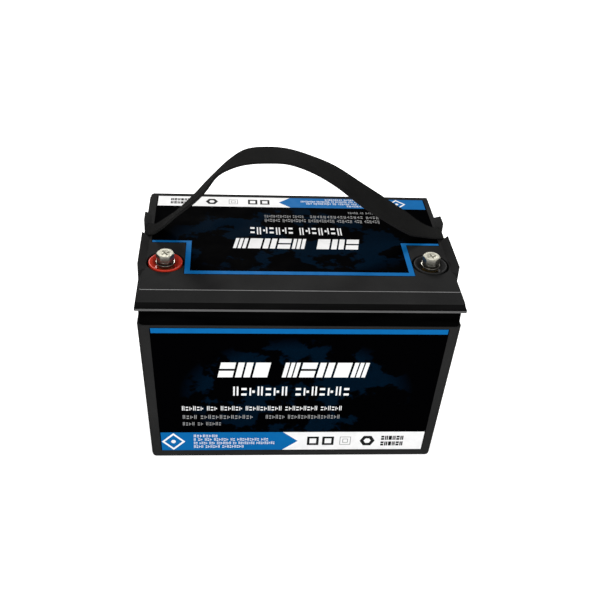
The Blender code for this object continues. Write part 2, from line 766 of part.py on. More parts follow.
def close_bore(insert):
    """Carries the insert's open top down into a blind bore for the bolt."""
    bm = bmesh.new()
    bm.from_mesh(insert.data)
    rim = [edge for edge in bm.edges if edge.is_boundary]
    sunk = bmesh.ops.extrude_edge_only(bm, edges=rim)["geom"]
    wall = [item for item in sunk if isinstance(item, bmesh.types.BMVert)]
    bmesh.ops.translate(bm, verts=wall, vec=(0.0, 0.0, BOLT_BORE_BOTTOM_Z - INSERT_TOP_Z))
    bmesh.ops.holes_fill(bm, edges=[edge for edge in bm.edges if edge.is_boundary], sides=0)
    bmesh.ops.recalc_face_normals(bm, faces=bm.faces[:])
    bm.to_mesh(insert.data)
    bm.free()


# ---------------------------------------------------------------- strap


def strap_sections():
    """Rectangular sections of the webbing from its left end to its right end."""
    route = smooth_route([(x * MM, lift * MM, z * MM) for x, z, lift in STRAP_ROUTE], 4)
    sections = []
    for i, point in enumerate(route):
        before, after = route[max(i - 1, 0)], route[min(i + 1, len(route) - 1)]
        along = Vector((after.x - before.x, 0.0, after.z - before.z)).normalized()
        low, high = STRAP_WIDENING_Z
        share = min(max((point.z - low) / (high - low), 0.0), 1.0)
        width = STRAP_END_WIDTH + (STRAP_WIDTH - STRAP_END_WIDTH) * share
        lean = math.asin(point.y / STRAP_WIDTH)
        across = Vector((0.0, math.cos(lean), math.sin(lean)))
        out = along.cross(across).normalized()
        middle = Vector((point.x, STRAP_Y, point.z))
        half_width, half_thick = across * width / 2, out * STRAP_THICK / 2
        sections.append([
            middle - half_width - half_thick,
            middle + half_width - half_thick,
            middle + half_width + half_thick,
            middle - half_width + half_thick,
        ])
    return sections, route


def with_gap(sections):
    """The same run of sections, its two end ones moved in by half the gap."""
    def moved(end, inner):
        step = sum(inner, Vector()) / 4 - sum(end, Vector()) / 4
        return [corner + step.normalized() * GAP / 2 for corner in end]

    return [moved(sections[0], sections[1]), *sections[1:-1], moved(sections[-1], sections[-2])]


def make_strap():
    sections, route = strap_sections()
    high = [i for i, point in enumerate(route) if point.z > STRAP_SPLIT_Z]
    first, last = high[0], high[-1]
    runs = {
        "strap_leg_left": sections[: first + 1],
        "strap_grip": sections[first : last + 1],
        "strap_leg_right": sections[last:],
    }
    made = {
        name: with_origin(lofted(name, with_gap(run), WEBBING), (0.0, STRAP_Y, STRAP_AXIS_Z))
        for name, run in runs.items()
    }
    for side, end in ((-1, "left"), (1, "right")):
        cut(made[f"strap_leg_{end}"], strap_bore(f"eyelet_{end}", side * STRAP_END_X, SMALL_STEPS))
        head_low = STRAP_THICK / 2 + GAP
        head_high = LIP_HALF[0] - STRAP_END_X
        pin = turned(
            f"strap_pin_{end}", (0, 0),
            [
                (0.0, head_high),
                (PIN_HEAD_RADIUS - PIN_CHAMFER, head_high),
                (PIN_HEAD_RADIUS, head_high - PIN_CHAMFER),
                (PIN_HEAD_RADIUS, head_low),
                (PIN_RADIUS, head_low),
                (PIN_RADIUS, -PIN_DEPTH),
                (0.0, -PIN_DEPTH),
            ],
            NICKEL, steps=SMALL_STEPS,
        )
        pin.rotation_euler = (0.0, side * math.pi / 2, 0.0)
        pin.location = (side * STRAP_END_X, STRAP_Y, STRAP_AXIS_Z)


# ---------------------------------------------------------------- cells and busbars


def cell_x(index):
    return (index - 1.5) * CELL_PITCH


def make_cells():
    half = [size / 2 for size in CELL_SIZE]
    body = block(
        "cell_1", (-half[0], -half[1], CELL_BASE_Z), (half[0], half[1], CELL_TOP_Z), CELL_FILM,
        bevel=CELL_ROUNDING,
    )
    for i, y in enumerate((-CELL_POST_Y, CELL_POST_Y)):
        low = (-POST_SIZE[0] / 2, y - POST_SIZE[1] / 2, CELL_TOP_Z - ROOT)
        high = (POST_SIZE[0] / 2, y + POST_SIZE[1] / 2, CELL_TOP_Z + POST_SIZE[2])
        join(body, block(f"post_{i}", low, high))
        stud_low = CELL_TOP_Z + POST_SIZE[2] - ROOT / 2
        stud_high = CELL_TOP_Z + POST_SIZE[2] + STUD_HEIGHT
        join(body, cylinder(f"stud_{i}", (0.0, y), STUD_RADIUS, stud_low, stud_high, steps=16))
    vent_low = CELL_TOP_Z - VENT_DEPTH
    cut(body, cylinder("vent", (0.0, 0.0), VENT_RADIUS, vent_low, CELL_TOP_Z + CLEAR, steps=16))
    settled(body)
    body.location = (cell_x(0), 0.0, 0.0)
    for index in range(1, 4):
        copy_of(body, f"cell_{index + 1}", (cell_x(index), 0.0, 0.0), math.pi * (index % 2))


def make_cell_packing():
    half_y = CELL_SIZE[1] / 2 - PACKING_INSET
    for index in range(3):
        middle = (cell_x(index) + cell_x(index + 1)) / 2
        block(
            f"cell_pad_{index + 1}",
            (middle - CELL_PAD_THICK / 2, -half_y, CELL_BASE_Z),
            (middle + CELL_PAD_THICK / 2, half_y, CELL_TOP_Z - PAD_BELOW_TOP), FOAM,
        )
    inner = cell_x(3) + CELL_SIZE[0] / 2 + GAP
    for side, end in ((-1, "left"), (1, "right")):
        xs = sorted((side * inner, side * (inner + END_FOAM_THICK)))
        block(
            f"end_foam_{end}", (xs[0], -half_y, CELL_BASE_Z),
            (xs[1], half_y, CELL_TOP_Z - END_FOAM_BELOW_TOP), FOAM, bevel=1.5 * MM, bevel_segments=1,
        )
    block(
        "base_mat", (-inner + GAP, -half_y, FLOOR + GAP), (inner - GAP, half_y, CELL_BASE_Z - GAP),
        FOAM,
    )


def make_busbars():
    seat = CELL_TOP_Z + POST_SIZE[2] + GAP
    half_length = CELL_PITCH / 2 + BUSBAR_WIDTH / 2
    hump, foot = BUSBAR_HUMP_X
    # Side view of a bar: flat ends on the posts and a raised middle that lets the cells swell.
    line = [
        (-half_length, 0.0), (-foot, 0.0), (-hump, BUSBAR_RISE),
        (hump, BUSBAR_RISE), (foot, 0.0), (half_length, 0.0),
    ]
    upper = [(x, z + BUSBAR_THICK) for x, z in reversed(line)]
    for index in range(3):
        middle_x = (cell_x(index) + cell_x(index + 1)) / 2
        middle_y = CELL_POST_Y * (1 if index % 2 else -1)
        faces = [
            [(middle_x + x, middle_y + y, seat + z) for x, z in line + upper]
            for y in (-BUSBAR_WIDTH / 2, BUSBAR_WIDTH / 2)
        ]
        bar = lofted(f"busbar_{index + 1}", faces, COPPER)
        for i in (index, index + 1):
            cut(bar, cylinder(
                f"bar_hole_{index}_{i}", (cell_x(i), middle_y), STUD_RADIUS + THREAD_CLEARANCE,
                seat - CLEAR, seat + CLEAR, steps=16,
            ))


def make_cell_nuts():
    low = CELL_TOP_Z + POST_SIZE[2] + BUSBAR_THICK + 2 * GAP
    source = None
    for index in range(4):
        for y, end in ((-CELL_POST_Y, "front"), (CELL_POST_Y, "rear")):
            name = f"cell_nut_{index + 1}_{end}"
            if source is None:
                source = hex_nut(
                    name, (0.0, 0.0), CELL_NUT_RADIUS, STUD_RADIUS + THREAD_CLEARANCE,
                    low, low + CELL_NUT_HEIGHT, NICKEL,
                )
                settled(source)
                source.location = (cell_x(index), y, 0.0)
            else:
                copy_of(source, name, (cell_x(index), y, 0.0))


# ---------------------------------------------------------------- management board and leads


def make_boards():
    half = [size / 2 for size in BOARD_SIZE]
    block(
        "insulation_board", (-half[0], -half[1], BOARD_Z),
        (half[0], half[1], BOARD_Z + BOARD_SIZE[2]), FIBRE_BOARD,
    )
    x, y = BMS_CENTRE
    half = [size / 2 for size in BMS_SIZE]
    board = block(
        "bms_board", (x - half[0], y - half[1], BMS_Z),
        (x + half[0], y + half[1], BMS_Z + BMS_SIZE[2]), CIRCUIT_BOARD,
    )
    foot_x, foot_y = half[0] - BMS_FOOT_INSET, half[1] - BMS_FOOT_INSET
    foot_z = (BOARD_Z + BOARD_SIZE[2] + GAP, BMS_Z + ROOT / 2)
    for i, (side_x, side_y) in enumerate(((-1, -1), (1, -1), (1, 1), (-1, 1))):
        place = (x + side_x * foot_x, y + side_y * foot_y)
        join(board, cylinder(f"board_foot_{i}", place, BMS_FOOT_RADIUS, *foot_z, steps=12))

    half = [size / 2 for size in SINK_SIZE]
    sink_low = BMS_Z + BMS_SIZE[2] + GAP
    sink_high = sink_low + SINK_SIZE[2]
    sink = block(
        "bms_heat_sink", (x - half[0], y - half[1], sink_low), (x + half[0], y + half[1], sink_high),
        ALUMINIUM,
    )
    for i in range(SINK_GROOVES):
        groove_y = y + (i - (SINK_GROOVES - 1) / 2) * SINK_PITCH
        cut(sink, block(
            f"sink_groove_{i}",
            (x - half[0] - CLEAR, groove_y - SINK_GROOVE_WIDTH / 2, sink_low + SINK_BASE),
            (x + half[0] + CLEAR, groove_y + SINK_GROOVE_WIDTH / 2, sink_high + CLEAR),
        ))
    foam_x, foam_y = HOLD_DOWN_HALF
    block(
        "hold_down_foam", (x - foam_x, y - foam_y, sink_high + GAP),
        (x + foam_x, y + foam_y, LID_CEILING_Z - GAP), FOAM,
    )
    connector_x = x - BMS_SIZE[0] / 2 + CONNECTOR_INSET
    length, width, height = CONNECTOR_SIZE
    block(
        "balance_connector", (connector_x, y - width / 2, sink_low),
        (connector_x + length, y + width / 2, sink_low + height), WHITE_NYLON,
    )
    wire_z = sink_low + height / 2
    tube(
        "balance_harness",
        [
            (connector_x - GAP, y, wire_z),
            (connector_x - 14 * MM, y, wire_z),
            (connector_x - 30 * MM, y - 8 * MM, wire_z - 1 * MM),
            (-98 * MM, y - 20 * MM, BOARD_Z - 2 * MM),
            (-98 * MM, -CELL_POST_Y + 12 * MM, CELL_TOP_Z + 6 * MM),
            (-98 * MM, -CELL_POST_Y, CELL_TOP_Z + 4 * MM),
        ],
        HARNESS_RADIUS, WHITE_NYLON,
    )


def lug(name, centre, low_z, hole, reach):
    """A flat ring lug whose tongue reaches to one side, along X or along Y."""
    ring = cylinder(name, centre, LUG_RADIUS, low_z, low_z + LUG_THICK, steps=SMALL_STEPS)
    along_x = reach[1] == 0
    half_x, half_y = (0.0, LUG_TONGUE_HALF) if along_x else (LUG_TONGUE_HALF, 0.0)
    xs = sorted((centre[0], centre[0] + reach[0]))
    ys = sorted((centre[1], centre[1] + reach[1]))
    inset = LUG_THICK / 20
    low = (xs[0] - half_x, ys[0] - half_y, low_z + inset)
    high = (xs[1] + half_x, ys[1] + half_y, low_z + LUG_THICK - inset)
    join(ring, block(f"{name}_tongue", low, high))
    bore_low, bore_high = low_z - CLEAR, low_z + LUG_THICK + CLEAR
    cut(ring, cylinder(f"{name}_bore", centre, hole, bore_low, bore_high, steps=SMALL_STEPS))
    return settled(ring)


def cell_lug(name, side):
    """The lug on an end cell's rear stud, its tongue pointing outwards."""
    centre = (side * 1.5 * CELL_PITCH, CELL_POST_Y)
    low_z = CELL_TOP_Z + POST_SIZE[2] + GAP
    return lug(name, centre, low_z, STUD_RADIUS + THREAD_CLEARANCE, (side * LUG_REACH[0], 0.0))


def terminal_lug(name, side):
    """The lug under a terminal's insert, its tongue pointing to the rear."""
    low_z = INSERT_FLANGE_Z[0] - GAP - LUG_THICK
    centre = (side * TERMINAL_X, TERMINAL_Y)
    return lug(name, centre, low_z, INSERT_STUB_RADIUS + THREAD_CLEARANCE, (0.0, LUG_REACH[1]))


def make_leads():
    low_z = CELL_TOP_Z + POST_SIZE[2] + GAP + LUG_THICK / 2 + 0.9 * MM
    high_z = INSERT_FLANGE_Z[0] - GAP - LUG_THICK / 2
    board_z = BMS_Z + BMS_SIZE[2] + GAP + LEAD_RADIUS
    board_x = BMS_CENTRE[0] + SINK_SIZE[0] / 2 + LEAD_PAD_INSET
    lug_x = 1.5 * CELL_PITCH + LUG_REACH[0] - 3 * MM
    lug_y = TERMINAL_Y + LUG_REACH[1] - 2 * MM

    positive = tube(
        "positive_lead",
        [
            (-lug_x, CELL_POST_Y, low_z),
            (-97 * MM, CELL_POST_Y, low_z + 0.5 * MM),
            (-107 * MM, CELL_POST_Y - 8 * MM, low_z + 4 * MM),
            (-TERMINAL_X, 22 * MM, low_z + 9 * MM),
            (-TERMINAL_X, 0.0, high_z - 5 * MM),
            (-TERMINAL_X, -16 * MM, high_z),
            (-TERMINAL_X, lug_y, high_z),
        ],
        LEAD_RADIUS, RED_CABLE,
    )
    join(positive, cell_lug("positive_cell_lug", -1), terminal_lug("positive_terminal_lug", -1))

    from_cells = tube(
        "battery_negative_lead",
        [
            (lug_x, CELL_POST_Y, low_z),
            (97 * MM, CELL_POST_Y, low_z + 1 * MM),
            (105 * MM, CELL_POST_Y - 8 * MM, low_z + 6 * MM),
            (101 * MM, 32 * MM, BOARD_Z + 6 * MM),
            (84 * MM, 25 * MM, board_z + 1 * MM),
            (board_x + 10 * MM, 24 * MM, board_z),
            (board_x, 24 * MM, board_z),
        ],
        LEAD_RADIUS, BLACK_CABLE,
    )
    join(from_cells, cell_lug("negative_cell_lug", 1))

    to_terminal = tube(
        "pack_negative_lead",
        [
            (board_x, 2 * MM, board_z),
            (board_x + 12 * MM, 2 * MM, board_z),
            (board_x + 34 * MM, 0.0, board_z + 1 * MM),
            (TERMINAL_X - 2 * MM, -8 * MM, high_z - 1 * MM),
            (TERMINAL_X, -17 * MM, high_z),
            (TERMINAL_X, lug_y, high_z),
        ],
        LEAD_RADIUS, BLACK_CABLE,
    )
    join(to_terminal, terminal_lug("negative_terminal_lug", 1))


make_case()
make_seal()
make_lid()
make_terminal(-1, "positive", RED_PLASTIC, math.radians(30))
make_terminal(1, "negative", TERMINAL_BLACK, math.radians(15))
make_strap()
make_cells()
make_cell_packing()
make_busbars()
make_cell_nuts()
make_boards()
make_leads()
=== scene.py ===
"""Looks of a deep cycle battery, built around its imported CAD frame.

The case, lid, labels, terminals and carrying strap are rebuilt here with eased edges, printed
graphics, machined metal and woven webbing. The inner pieces keep their CAD shapes and get finishes.
Lengths are in metres in the CAD frame: +X right, -Y the front, +Z up, the origin under the middle.
"""

import math

import bmesh
import bpy
from mathutils import Matrix, Vector


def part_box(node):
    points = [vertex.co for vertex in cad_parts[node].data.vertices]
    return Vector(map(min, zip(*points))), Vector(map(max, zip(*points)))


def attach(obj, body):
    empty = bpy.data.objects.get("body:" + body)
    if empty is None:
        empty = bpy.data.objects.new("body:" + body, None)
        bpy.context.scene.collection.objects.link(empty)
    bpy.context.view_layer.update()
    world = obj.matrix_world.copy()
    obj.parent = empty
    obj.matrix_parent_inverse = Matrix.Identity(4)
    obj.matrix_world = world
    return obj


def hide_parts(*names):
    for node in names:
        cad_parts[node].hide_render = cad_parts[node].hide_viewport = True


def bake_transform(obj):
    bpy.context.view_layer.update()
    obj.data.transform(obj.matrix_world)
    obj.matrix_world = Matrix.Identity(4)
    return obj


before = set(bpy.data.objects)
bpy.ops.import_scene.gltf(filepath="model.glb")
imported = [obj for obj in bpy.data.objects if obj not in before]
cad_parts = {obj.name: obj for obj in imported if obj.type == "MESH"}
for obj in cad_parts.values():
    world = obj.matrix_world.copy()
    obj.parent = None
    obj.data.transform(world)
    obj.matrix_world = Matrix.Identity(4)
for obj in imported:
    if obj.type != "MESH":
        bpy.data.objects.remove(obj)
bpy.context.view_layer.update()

MM = 0.001

# ------ sizes shared with the CAD

# Rows of the case and lid shells: height, half length, half depth, corner radius, easing of the row.
CASE_ROWS = (
    (0.0, 116.0, 77.0, 3.5, 0.0),
    (0.0, 122.5, 83.5, 5.0, 2.2),
    (144.0, 129.0, 88.0, 5.0, 0.5),
    (144.8, 127.6, 87.2, 5.0, 0.3),
    (160.4, 127.6, 87.2, 5.0, 0.4),
    (160.4, 124.4, 84.0, 1.8, 0.4),
    (144.0, 124.4, 84.0, 1.8, 0.0),
    (3.2, 119.4, 80.4, 1.8, 1.5),
    (3.2, 114.0, 75.0, 1.2, 0.0),
)
LID_ROWS = (
    (168.5, 122.0, 75.0, 1.2, 0.0),
    (161.7, 124.4, 84.0, 1.2, 0.0),
    (161.7, 127.9, 87.5, 1.2, 0.0),
    (159.8, 127.9, 87.5, 1.2, 0.2),
    (159.8, 130.0, 90.0, 1.2, 0.35),
    (162.0, 130.0, 90.0, 1.2, 0.25),
    (162.7, 129.2, 88.8, 1.2, 0.25),
    (166.3, 128.6, 86.6, 1.2, 0.8),
    (172.0, 126.0, 78.0, 1.0, 0.45),
    (172.0, 118.0, 70.0, 1.0, 0.0),
)
LIP_BOTTOM_Z = 159.8 * MM
LIP_TOP_Z = 162.0 * MM
SHOULDER_Z = 166.3 * MM
PLATE_Z = 172.0 * MM
LIP_HALF = (130.0 * MM, 90.0 * MM)
BAND_HALF = (128.4 * MM, 85.5 * MM)  # the band above the lip, painted near black as shade, lies outside this
EAR_FACE = (129.8 * MM, 60.0 * MM)  # the ears' outer faces are past this x and short of this y
PLATE_EDGE_Y = 77.0 * MM
PANEL_TOP_Z = 144.0 * MM
BASE_HALF = (122.5 * MM, 83.5 * MM)
PANEL_TOP_HALF = (129.0 * MM, 88.0 * MM)
EAR_TOP_Z = 177.4 * MM
EAR_X = (123.6 * MM, 129.3 * MM, 129.9 * MM)  # foot of the ramp, top of the ramp, outer face
EAR_FRONT_Y = -49.5 * MM
EAR_SLOPE_Y = (34.0 * MM, 51.0 * MM)
SLOT_LOW = (125.5 * MM, -0.5 * MM, 162.4 * MM)
SLOT_HIGH = (136.0 * MM, 20.5 * MM, 184.0 * MM)
TERMINAL_X = 108.5 * MM
TERMINAL_Y = -38.0 * MM
INSERT_HOLE_RADIUS = 6.9 * MM
INSERT_HOLE_Z = (150.0 * MM, 170.0 * MM)
STRAP_Y = 10.0 * MM
STRAP_AXIS_Z = 166.5 * MM
STRAP_END_X = 127.8 * MM
STRAP_WIDTH = 26.0 * MM
STRAP_END_WIDTH = 17.5 * MM
STRAP_WIDENING_Z = (174.2 * MM, 184.0 * MM)
STRAP_THICK = 1.9 * MM
PIN_RADIUS = 2.0 * MM
# Middle line of the webbing: x, z, and how far its rear edge stands above its front edge.
STRAP_ROUTE = (
    (-127.8, 163.2, 0.0), (-127.8, 168.6, 0.0), (-127.5, 171.4, 0.0), (-126.3, 173.2, 0.0),
    (-123.0, 173.9, 0.0), (-118.0, 175.4, -2.5), (-104.0, 187.0, -8.0), (-88.0, 202.4, -6.0),
    (-78.0, 214.0, -5.0), (-68.0, 227.0, -8.0), (-57.0, 236.4, -4.0), (-44.0, 243.0, 1.0),
    (-27.0, 245.0, 2.0), (-9.0, 243.8, 1.5), (11.0, 237.0, 3.0), (31.0, 226.5, 7.0),
    (54.0, 210.0, 11.0), (78.0, 194.3, 11.0), (97.0, 182.6, 8.5), (110.0, 176.6, 5.0),
    (118.0, 174.4, 1.5), (123.0, 173.9, 0.0), (126.3, 173.2, 0.0), (127.5, 171.4, 0.0),
    (127.8, 168.6, 0.0), (127.8, 163.2, 0.0),
)

# Labels, in millimetres in each label's own plane: u to its right, v up.
FRONT_HALF = (119.0, 114.0)  # half widths at the top and the bottom
FRONT_V = (7.5, 142.5)
TOP_HALF = 121.5
TOP_V = (-73.0, 8.0)
TONGUE_HALF = 93.0
TONGUE_V = 55.8
FILM_THICK = 0.6
FILM_GAP = 0.3  # round the film and under it in its pocket
FILM_EASE = 0.12 * MM

# Pockets, wells, bolts and washers, in millimetres.
POCKET_DEPTH = 0.9
END_POCKET_HALF = (78.0, 75.0)  # half widths at the top and the bottom
WELL_RADIUS = 15.5
WELL_FLOOR_Z = 163.5
CUP_RADIUS = 17.5
CUP_Z = (161.9, 170.6)
KNURL_TEETH = 36
KNURL_SHARE = 1.0 - 0.012
HEAD_HEIGHT = 5.3
HEAD_APOTHEM = 6.5
HEAD_CORNER = 7.38
HEAD_FACE = 6.3  # radius of the flat face on top
HEAD_REACH = 7.5  # radius of the profile that the hexagon is cut from
CHAMFER_SLOPE = 0.8 / 1.5
SHANK = 4.0
THREAD_ROOT = 3.4
THREAD_PITCH = 1.25
THREAD_LOW = 155.0
RECESS_ROWS = ((-1.3, 6.4, 1.2), (-0.2, 7.4, 1.7), (1.0, 7.8, 2.0))  # depth, length, width
WASHER_BORE = 4.45
FLAT_WASHER = 8.0
SPRING_WASHER = 6.9
SPRING_RISE = 0.3
SPLIT_ANGLE = math.radians(35 - 90)
SPLIT_HALF = 0.088  # half of the split, in radians

CORNER_STEPS = 8
EASE_STEPS = 4
SHARP_ANGLE = 38.0
BOLT_SHARP = 28.0
CUTTER_RISE = 8.0  # how far a cutter stands out of what it cuts, in millimetres

CAMERA_LENS = 55.22
CAMERA_PLACE = (-0.0603, -0.6708, 0.5732)
CAMERA_AIM = (0.0061, 0.0, 0.1092)
CAMERA_ROLL = math.radians(3.68)


# ------ shader graphs


class Finish:
    """A procedural material: its Principled shader and short ways to add nodes to it."""

    def __init__(self, name, colour, roughness, **sockets):
        self.material = bpy.data.materials.new(name)
        self.material.use_nodes = True
        self.tree = self.material.node_tree
        self.shader = self.tree.nodes["Principled BSDF"]
        self.shader.inputs["Base Color"].default_value = (*colour, 1.0)
        self.shader.inputs["Roughness"].default_value = roughness
        for socket, value in sockets.items():
            self.shader.inputs[socket.replace("_", " ")].default_value = value
        self.place = self.node("TexCoord").outputs["Object"]

    def node(self, kind, inputs=None, **settings):
        made = self.tree.nodes.new("ShaderNode" + kind)
        for key, value in settings.items():
            setattr(made, key, value)
        for key, value in (inputs or {}).items():
            if isinstance(value, bpy.types.NodeSocket):
                self.tree.links.new(value, made.inputs[key])
            else:
                made.inputs[key].default_value = value
        return made

    def math(self, operation, a, b=0.0):
        return self.node("Math", {0: a, 1: b}, operation=operation).outputs[0]

    def wave(self, value, period):
        return self.math("SINE", self.math("MULTIPLY", value, math.tau / period))

    def offset(self, centre):
        return self.node("VectorMath", {0: self.place, 1: centre}, operation="SUBTRACT").outputs[0]

    def length(self, vector):
        return self.node("VectorMath", {0: vector}, operation="LENGTH").outputs["Value"]

    def stretched(self, scale, turn=(0.0, 0.0, 0.0), source=None):
        """The object's coordinates scaled by axis, to draw a pattern out along one of them."""
        inputs = {"Vector": source or self.place, "Scale": scale, "Rotation": turn}
        return self.node("Mapping", inputs).outputs["Vector"]

    def noise(self, size, detail=2.0, source=None, rough=0.5):
        """Noise whose blobs are about this many metres across."""
        inputs = {"Vector": source or self.place, "Scale": 1.0 / size, "Detail": detail, "Roughness": rough}
        return self.node("TexNoise", inputs).outputs["Fac"]

    def cells(self, size, source=None):
        inputs = {"Vector": source or self.place, "Scale": 1.0 / size}
        return self.node("TexVoronoi", inputs).outputs["Distance"]

    def remap(self, value, low, high, to_low=0.0, to_high=1.0):
        inputs = {"Value": value, "From Min": low, "From Max": high, "To Min": to_low, "To Max": to_high}
        return self.node("MapRange", inputs).outputs["Result"]

    def mix(self, share, first, second):
        """A colour between two, each a socket or a colour."""
        made = self.node("Mix", data_type="RGBA")
        for index, value in ((0, share), (6, first), (7, second)):
            if isinstance(value, bpy.types.NodeSocket):
                self.tree.links.new(value, made.inputs[index])
            else:
                made.inputs[index].default_value = (*value, 1.0)
        return made.outputs[2]

    def drive(self, socket, value):
        self.tree.links.new(value, self.shader.inputs[socket])
        return self

    def relief(self, *layers):
        """Bump layers, each (height, depth in metres, strength)."""
        normal = None
        for height, depth, strength in layers:
            inputs = {"Height": height, "Distance": depth, "Strength": strength}
            if normal:
                inputs["Normal"] = normal
            normal = self.node("Bump", inputs).outputs["Normal"]
        return self.drive("Normal", normal)


def moulded_plastic(name, dark, light, grain, rough, specular):
    """Moulded ABS: a fine grain, slow colour drift and handling marks."""
    made = Finish(name, dark, rough, Specular_IOR_Level=specular)
    drift = made.noise(38 * MM, 3.0)
    speckle = made.noise(0.9 * MM, 2.0)
    share = made.remap(made.math("ADD", drift, made.math("MULTIPLY", speckle, 0.6)), 0.45, 1.1)
    made.drive("Base Color", made.mix(share, dark, light))
    marks = made.noise(9 * MM, 5.0, made.stretched((1.0, 1.0, 0.25), (0.3, 0.2, 0.5)), 0.65)
    made.drive("Roughness", made.remap(marks, 0.3, 0.75, rough - 0.07, rough + 0.09))
    pits = made.cells(grain)
    made.relief((pits, 0.03 * MM, 0.35), (made.noise(grain * 2.6, 3.0), 0.04 * MM, 0.3))
    return made.material


def polished_plastic(name, colour, rough, specular):
    """Smooth moulded plastic with faint flow lines and hairline scuffs."""
    made = Finish(name, colour, rough, Specular_IOR_Level=specular)
    flow = made.noise(14 * MM, 4.0, made.stretched((0.3, 0.3, 1.6)))
    lighter = tuple(min(1.0, channel * 1.25 + 0.001) for channel in colour)
    made.drive("Base Color", made.mix(made.remap(flow, 0.35, 0.7), colour, lighter))
    scuffs = made.noise(0.7 * MM, 3.0, made.stretched((0.15, 0.6, 1.0), (0.0, 0.4, 0.7)))
    made.drive("Roughness", made.remap(scuffs, 0.4, 0.8, rough, rough + 0.12))
    made.relief((made.noise(2.5 * MM, 2.0), 0.02 * MM, 0.2))
    return made.material


def plated_metal(name, bright, dull, rough, turned_at=None):
    """Metal with a soft mottled plating; turned_at is the axis that its tool marks go round."""
    made = Finish(name, bright, rough, Metallic=1.0)
    mottle = made.noise(2.2 * MM, 4.0, rough=0.6)
    made.drive("Base Color", made.mix(made.remap(mottle, 0.35, 0.7), bright, dull))
    made.drive("Roughness", made.remap(mottle, 0.3, 0.75, rough - 0.05, rough + 0.13))
    layers = [(made.noise(0.35 * MM, 3.0), 0.01 * MM, 0.25)]
    if turned_at:
        flat = made.stretched((1.0, 1.0, 0.0), source=made.offset(turned_at))
        radius = made.length(flat)
        layers.append((made.wave(radius, 0.32 * MM), 0.004 * MM, 0.3))
    made.relief(*layers)
    return made.material


def printed_ink(name, colour):
    """Screen-printed ink: slightly uneven cover with a fine orange peel."""
    made = Finish(name, colour, 0.5, Specular_IOR_Level=0.01)
    cover = made.noise(6 * MM, 4.0)
    thin = tuple(channel * 0.93 for channel in colour)
    made.drive("Base Color", made.mix(made.remap(cover, 0.4, 0.75), colour, thin))
    made.drive("Roughness", made.remap(cover, 0.3, 0.8, 0.46, 0.58))
    made.relief((made.noise(0.6 * MM, 2.0), 0.01 * MM, 0.2))
    return made.material


def label_film(name, up_axis, centre, spread):
    """Black film with a dim blue cloud printed in it; up_axis is the label's upward axis (1 Y, 2 Z)."""
    black, blue = (0.0004, 0.0004, 0.0006), (0.0006, 0.0062, 0.0155)
    made = Finish(name, black, 0.5, Specular_IOR_Level=0.0005)
    scale = [1.0, 0.0, 0.0]
    scale[up_axis] = 1.35
    flat = made.stretched(tuple(scale))
    cloud = made.noise(46 * MM, 7.0, flat, 0.62)
    shores = made.remap(cloud, 0.505, 0.53)
    reach = [1.0 / spread[0], 0.0, 0.0]
    reach[up_axis] = 1.0 / spread[1]
    oval = made.stretched(tuple(reach), source=made.offset(centre))
    inside = made.remap(made.length(oval), 1.0, 0.8)
    dots = made.remap(made.cells(1.6 * MM, source=flat), 0.25, 0.45, 1.0, 0.75)
    share = made.math("MULTIPLY", made.math("MULTIPLY", shores, inside), dots)
    made.drive("Base Color", made.mix(share, black, blue))
    haze = made.noise(22 * MM, 4.0)
    made.drive("Roughness", made.remap(haze, 0.3, 0.75, 0.42, 0.58))
    made.relief((made.noise(3.5 * MM, 2.0), 0.02 * MM, 0.15), (made.noise(0.5 * MM), 0.006 * MM, 0.2))
    return made.material


def webbing(name):
    """Black nylon webbing: diagonal yarns crossed by weft ribs, with a little fuzz and sheen."""
    made = Finish(
        name, (0.008,) * 3, 0.85, Specular_IOR_Level=0.01, Sheen_Weight=0.004, Sheen_Roughness=0.5
    )
    sheet = made.node("UVMap", uv_map="weave").outputs["UV"]
    split = made.node("SeparateXYZ", {"Vector": sheet})
    across, along = split.outputs["X"], split.outputs["Y"]
    warp = made.wave(across, 1.1)
    lean = made.math("ADD", along, made.math("MULTIPLY", across, 0.85))
    twill = made.wave(lean, 1.7)
    ribs = made.wave(along, 0.85)
    yarns = made.math("MULTIPLY", made.math("ADD", warp, twill), 0.5)
    fuzz = made.noise(0.28 * MM, 3.0)
    tone = made.math("ADD", made.remap(yarns, -1.0, 1.0, 0.0, 0.7), made.math("MULTIPLY", fuzz, 0.5))
    worn = made.noise(30 * MM, 3.0)
    tone = made.math("MULTIPLY", tone, made.remap(worn, 0.3, 0.7, 0.75, 1.2))
    made.drive("Base Color", made.mix(tone, (0.0045,) * 3, (0.0145, 0.0145, 0.0142)))
    made.relief((yarns, 0.09 * MM, 0.6), (ribs, 0.05 * MM, 0.4), (fuzz, 0.05 * MM, 0.4))
    return made.material


def soft_solid(name, dark, light, cell, depth, rough):
    """Foam or rubber: cells of one size with pits between them."""
    made = Finish(name, dark, rough, Specular_IOR_Level=0.3)
    pores = made.cells(cell)
    made.drive("Base Color", made.mix(made.remap(pores, 0.1, 0.7), dark, light))
    made.drive("Roughness", made.remap(made.noise(cell * 6.0), 0.3, 0.7, rough - 0.1, rough))
    made.relief((pores, depth, 0.6), (made.noise(cell * 0.5), depth * 0.4, 0.4))
    return made.material


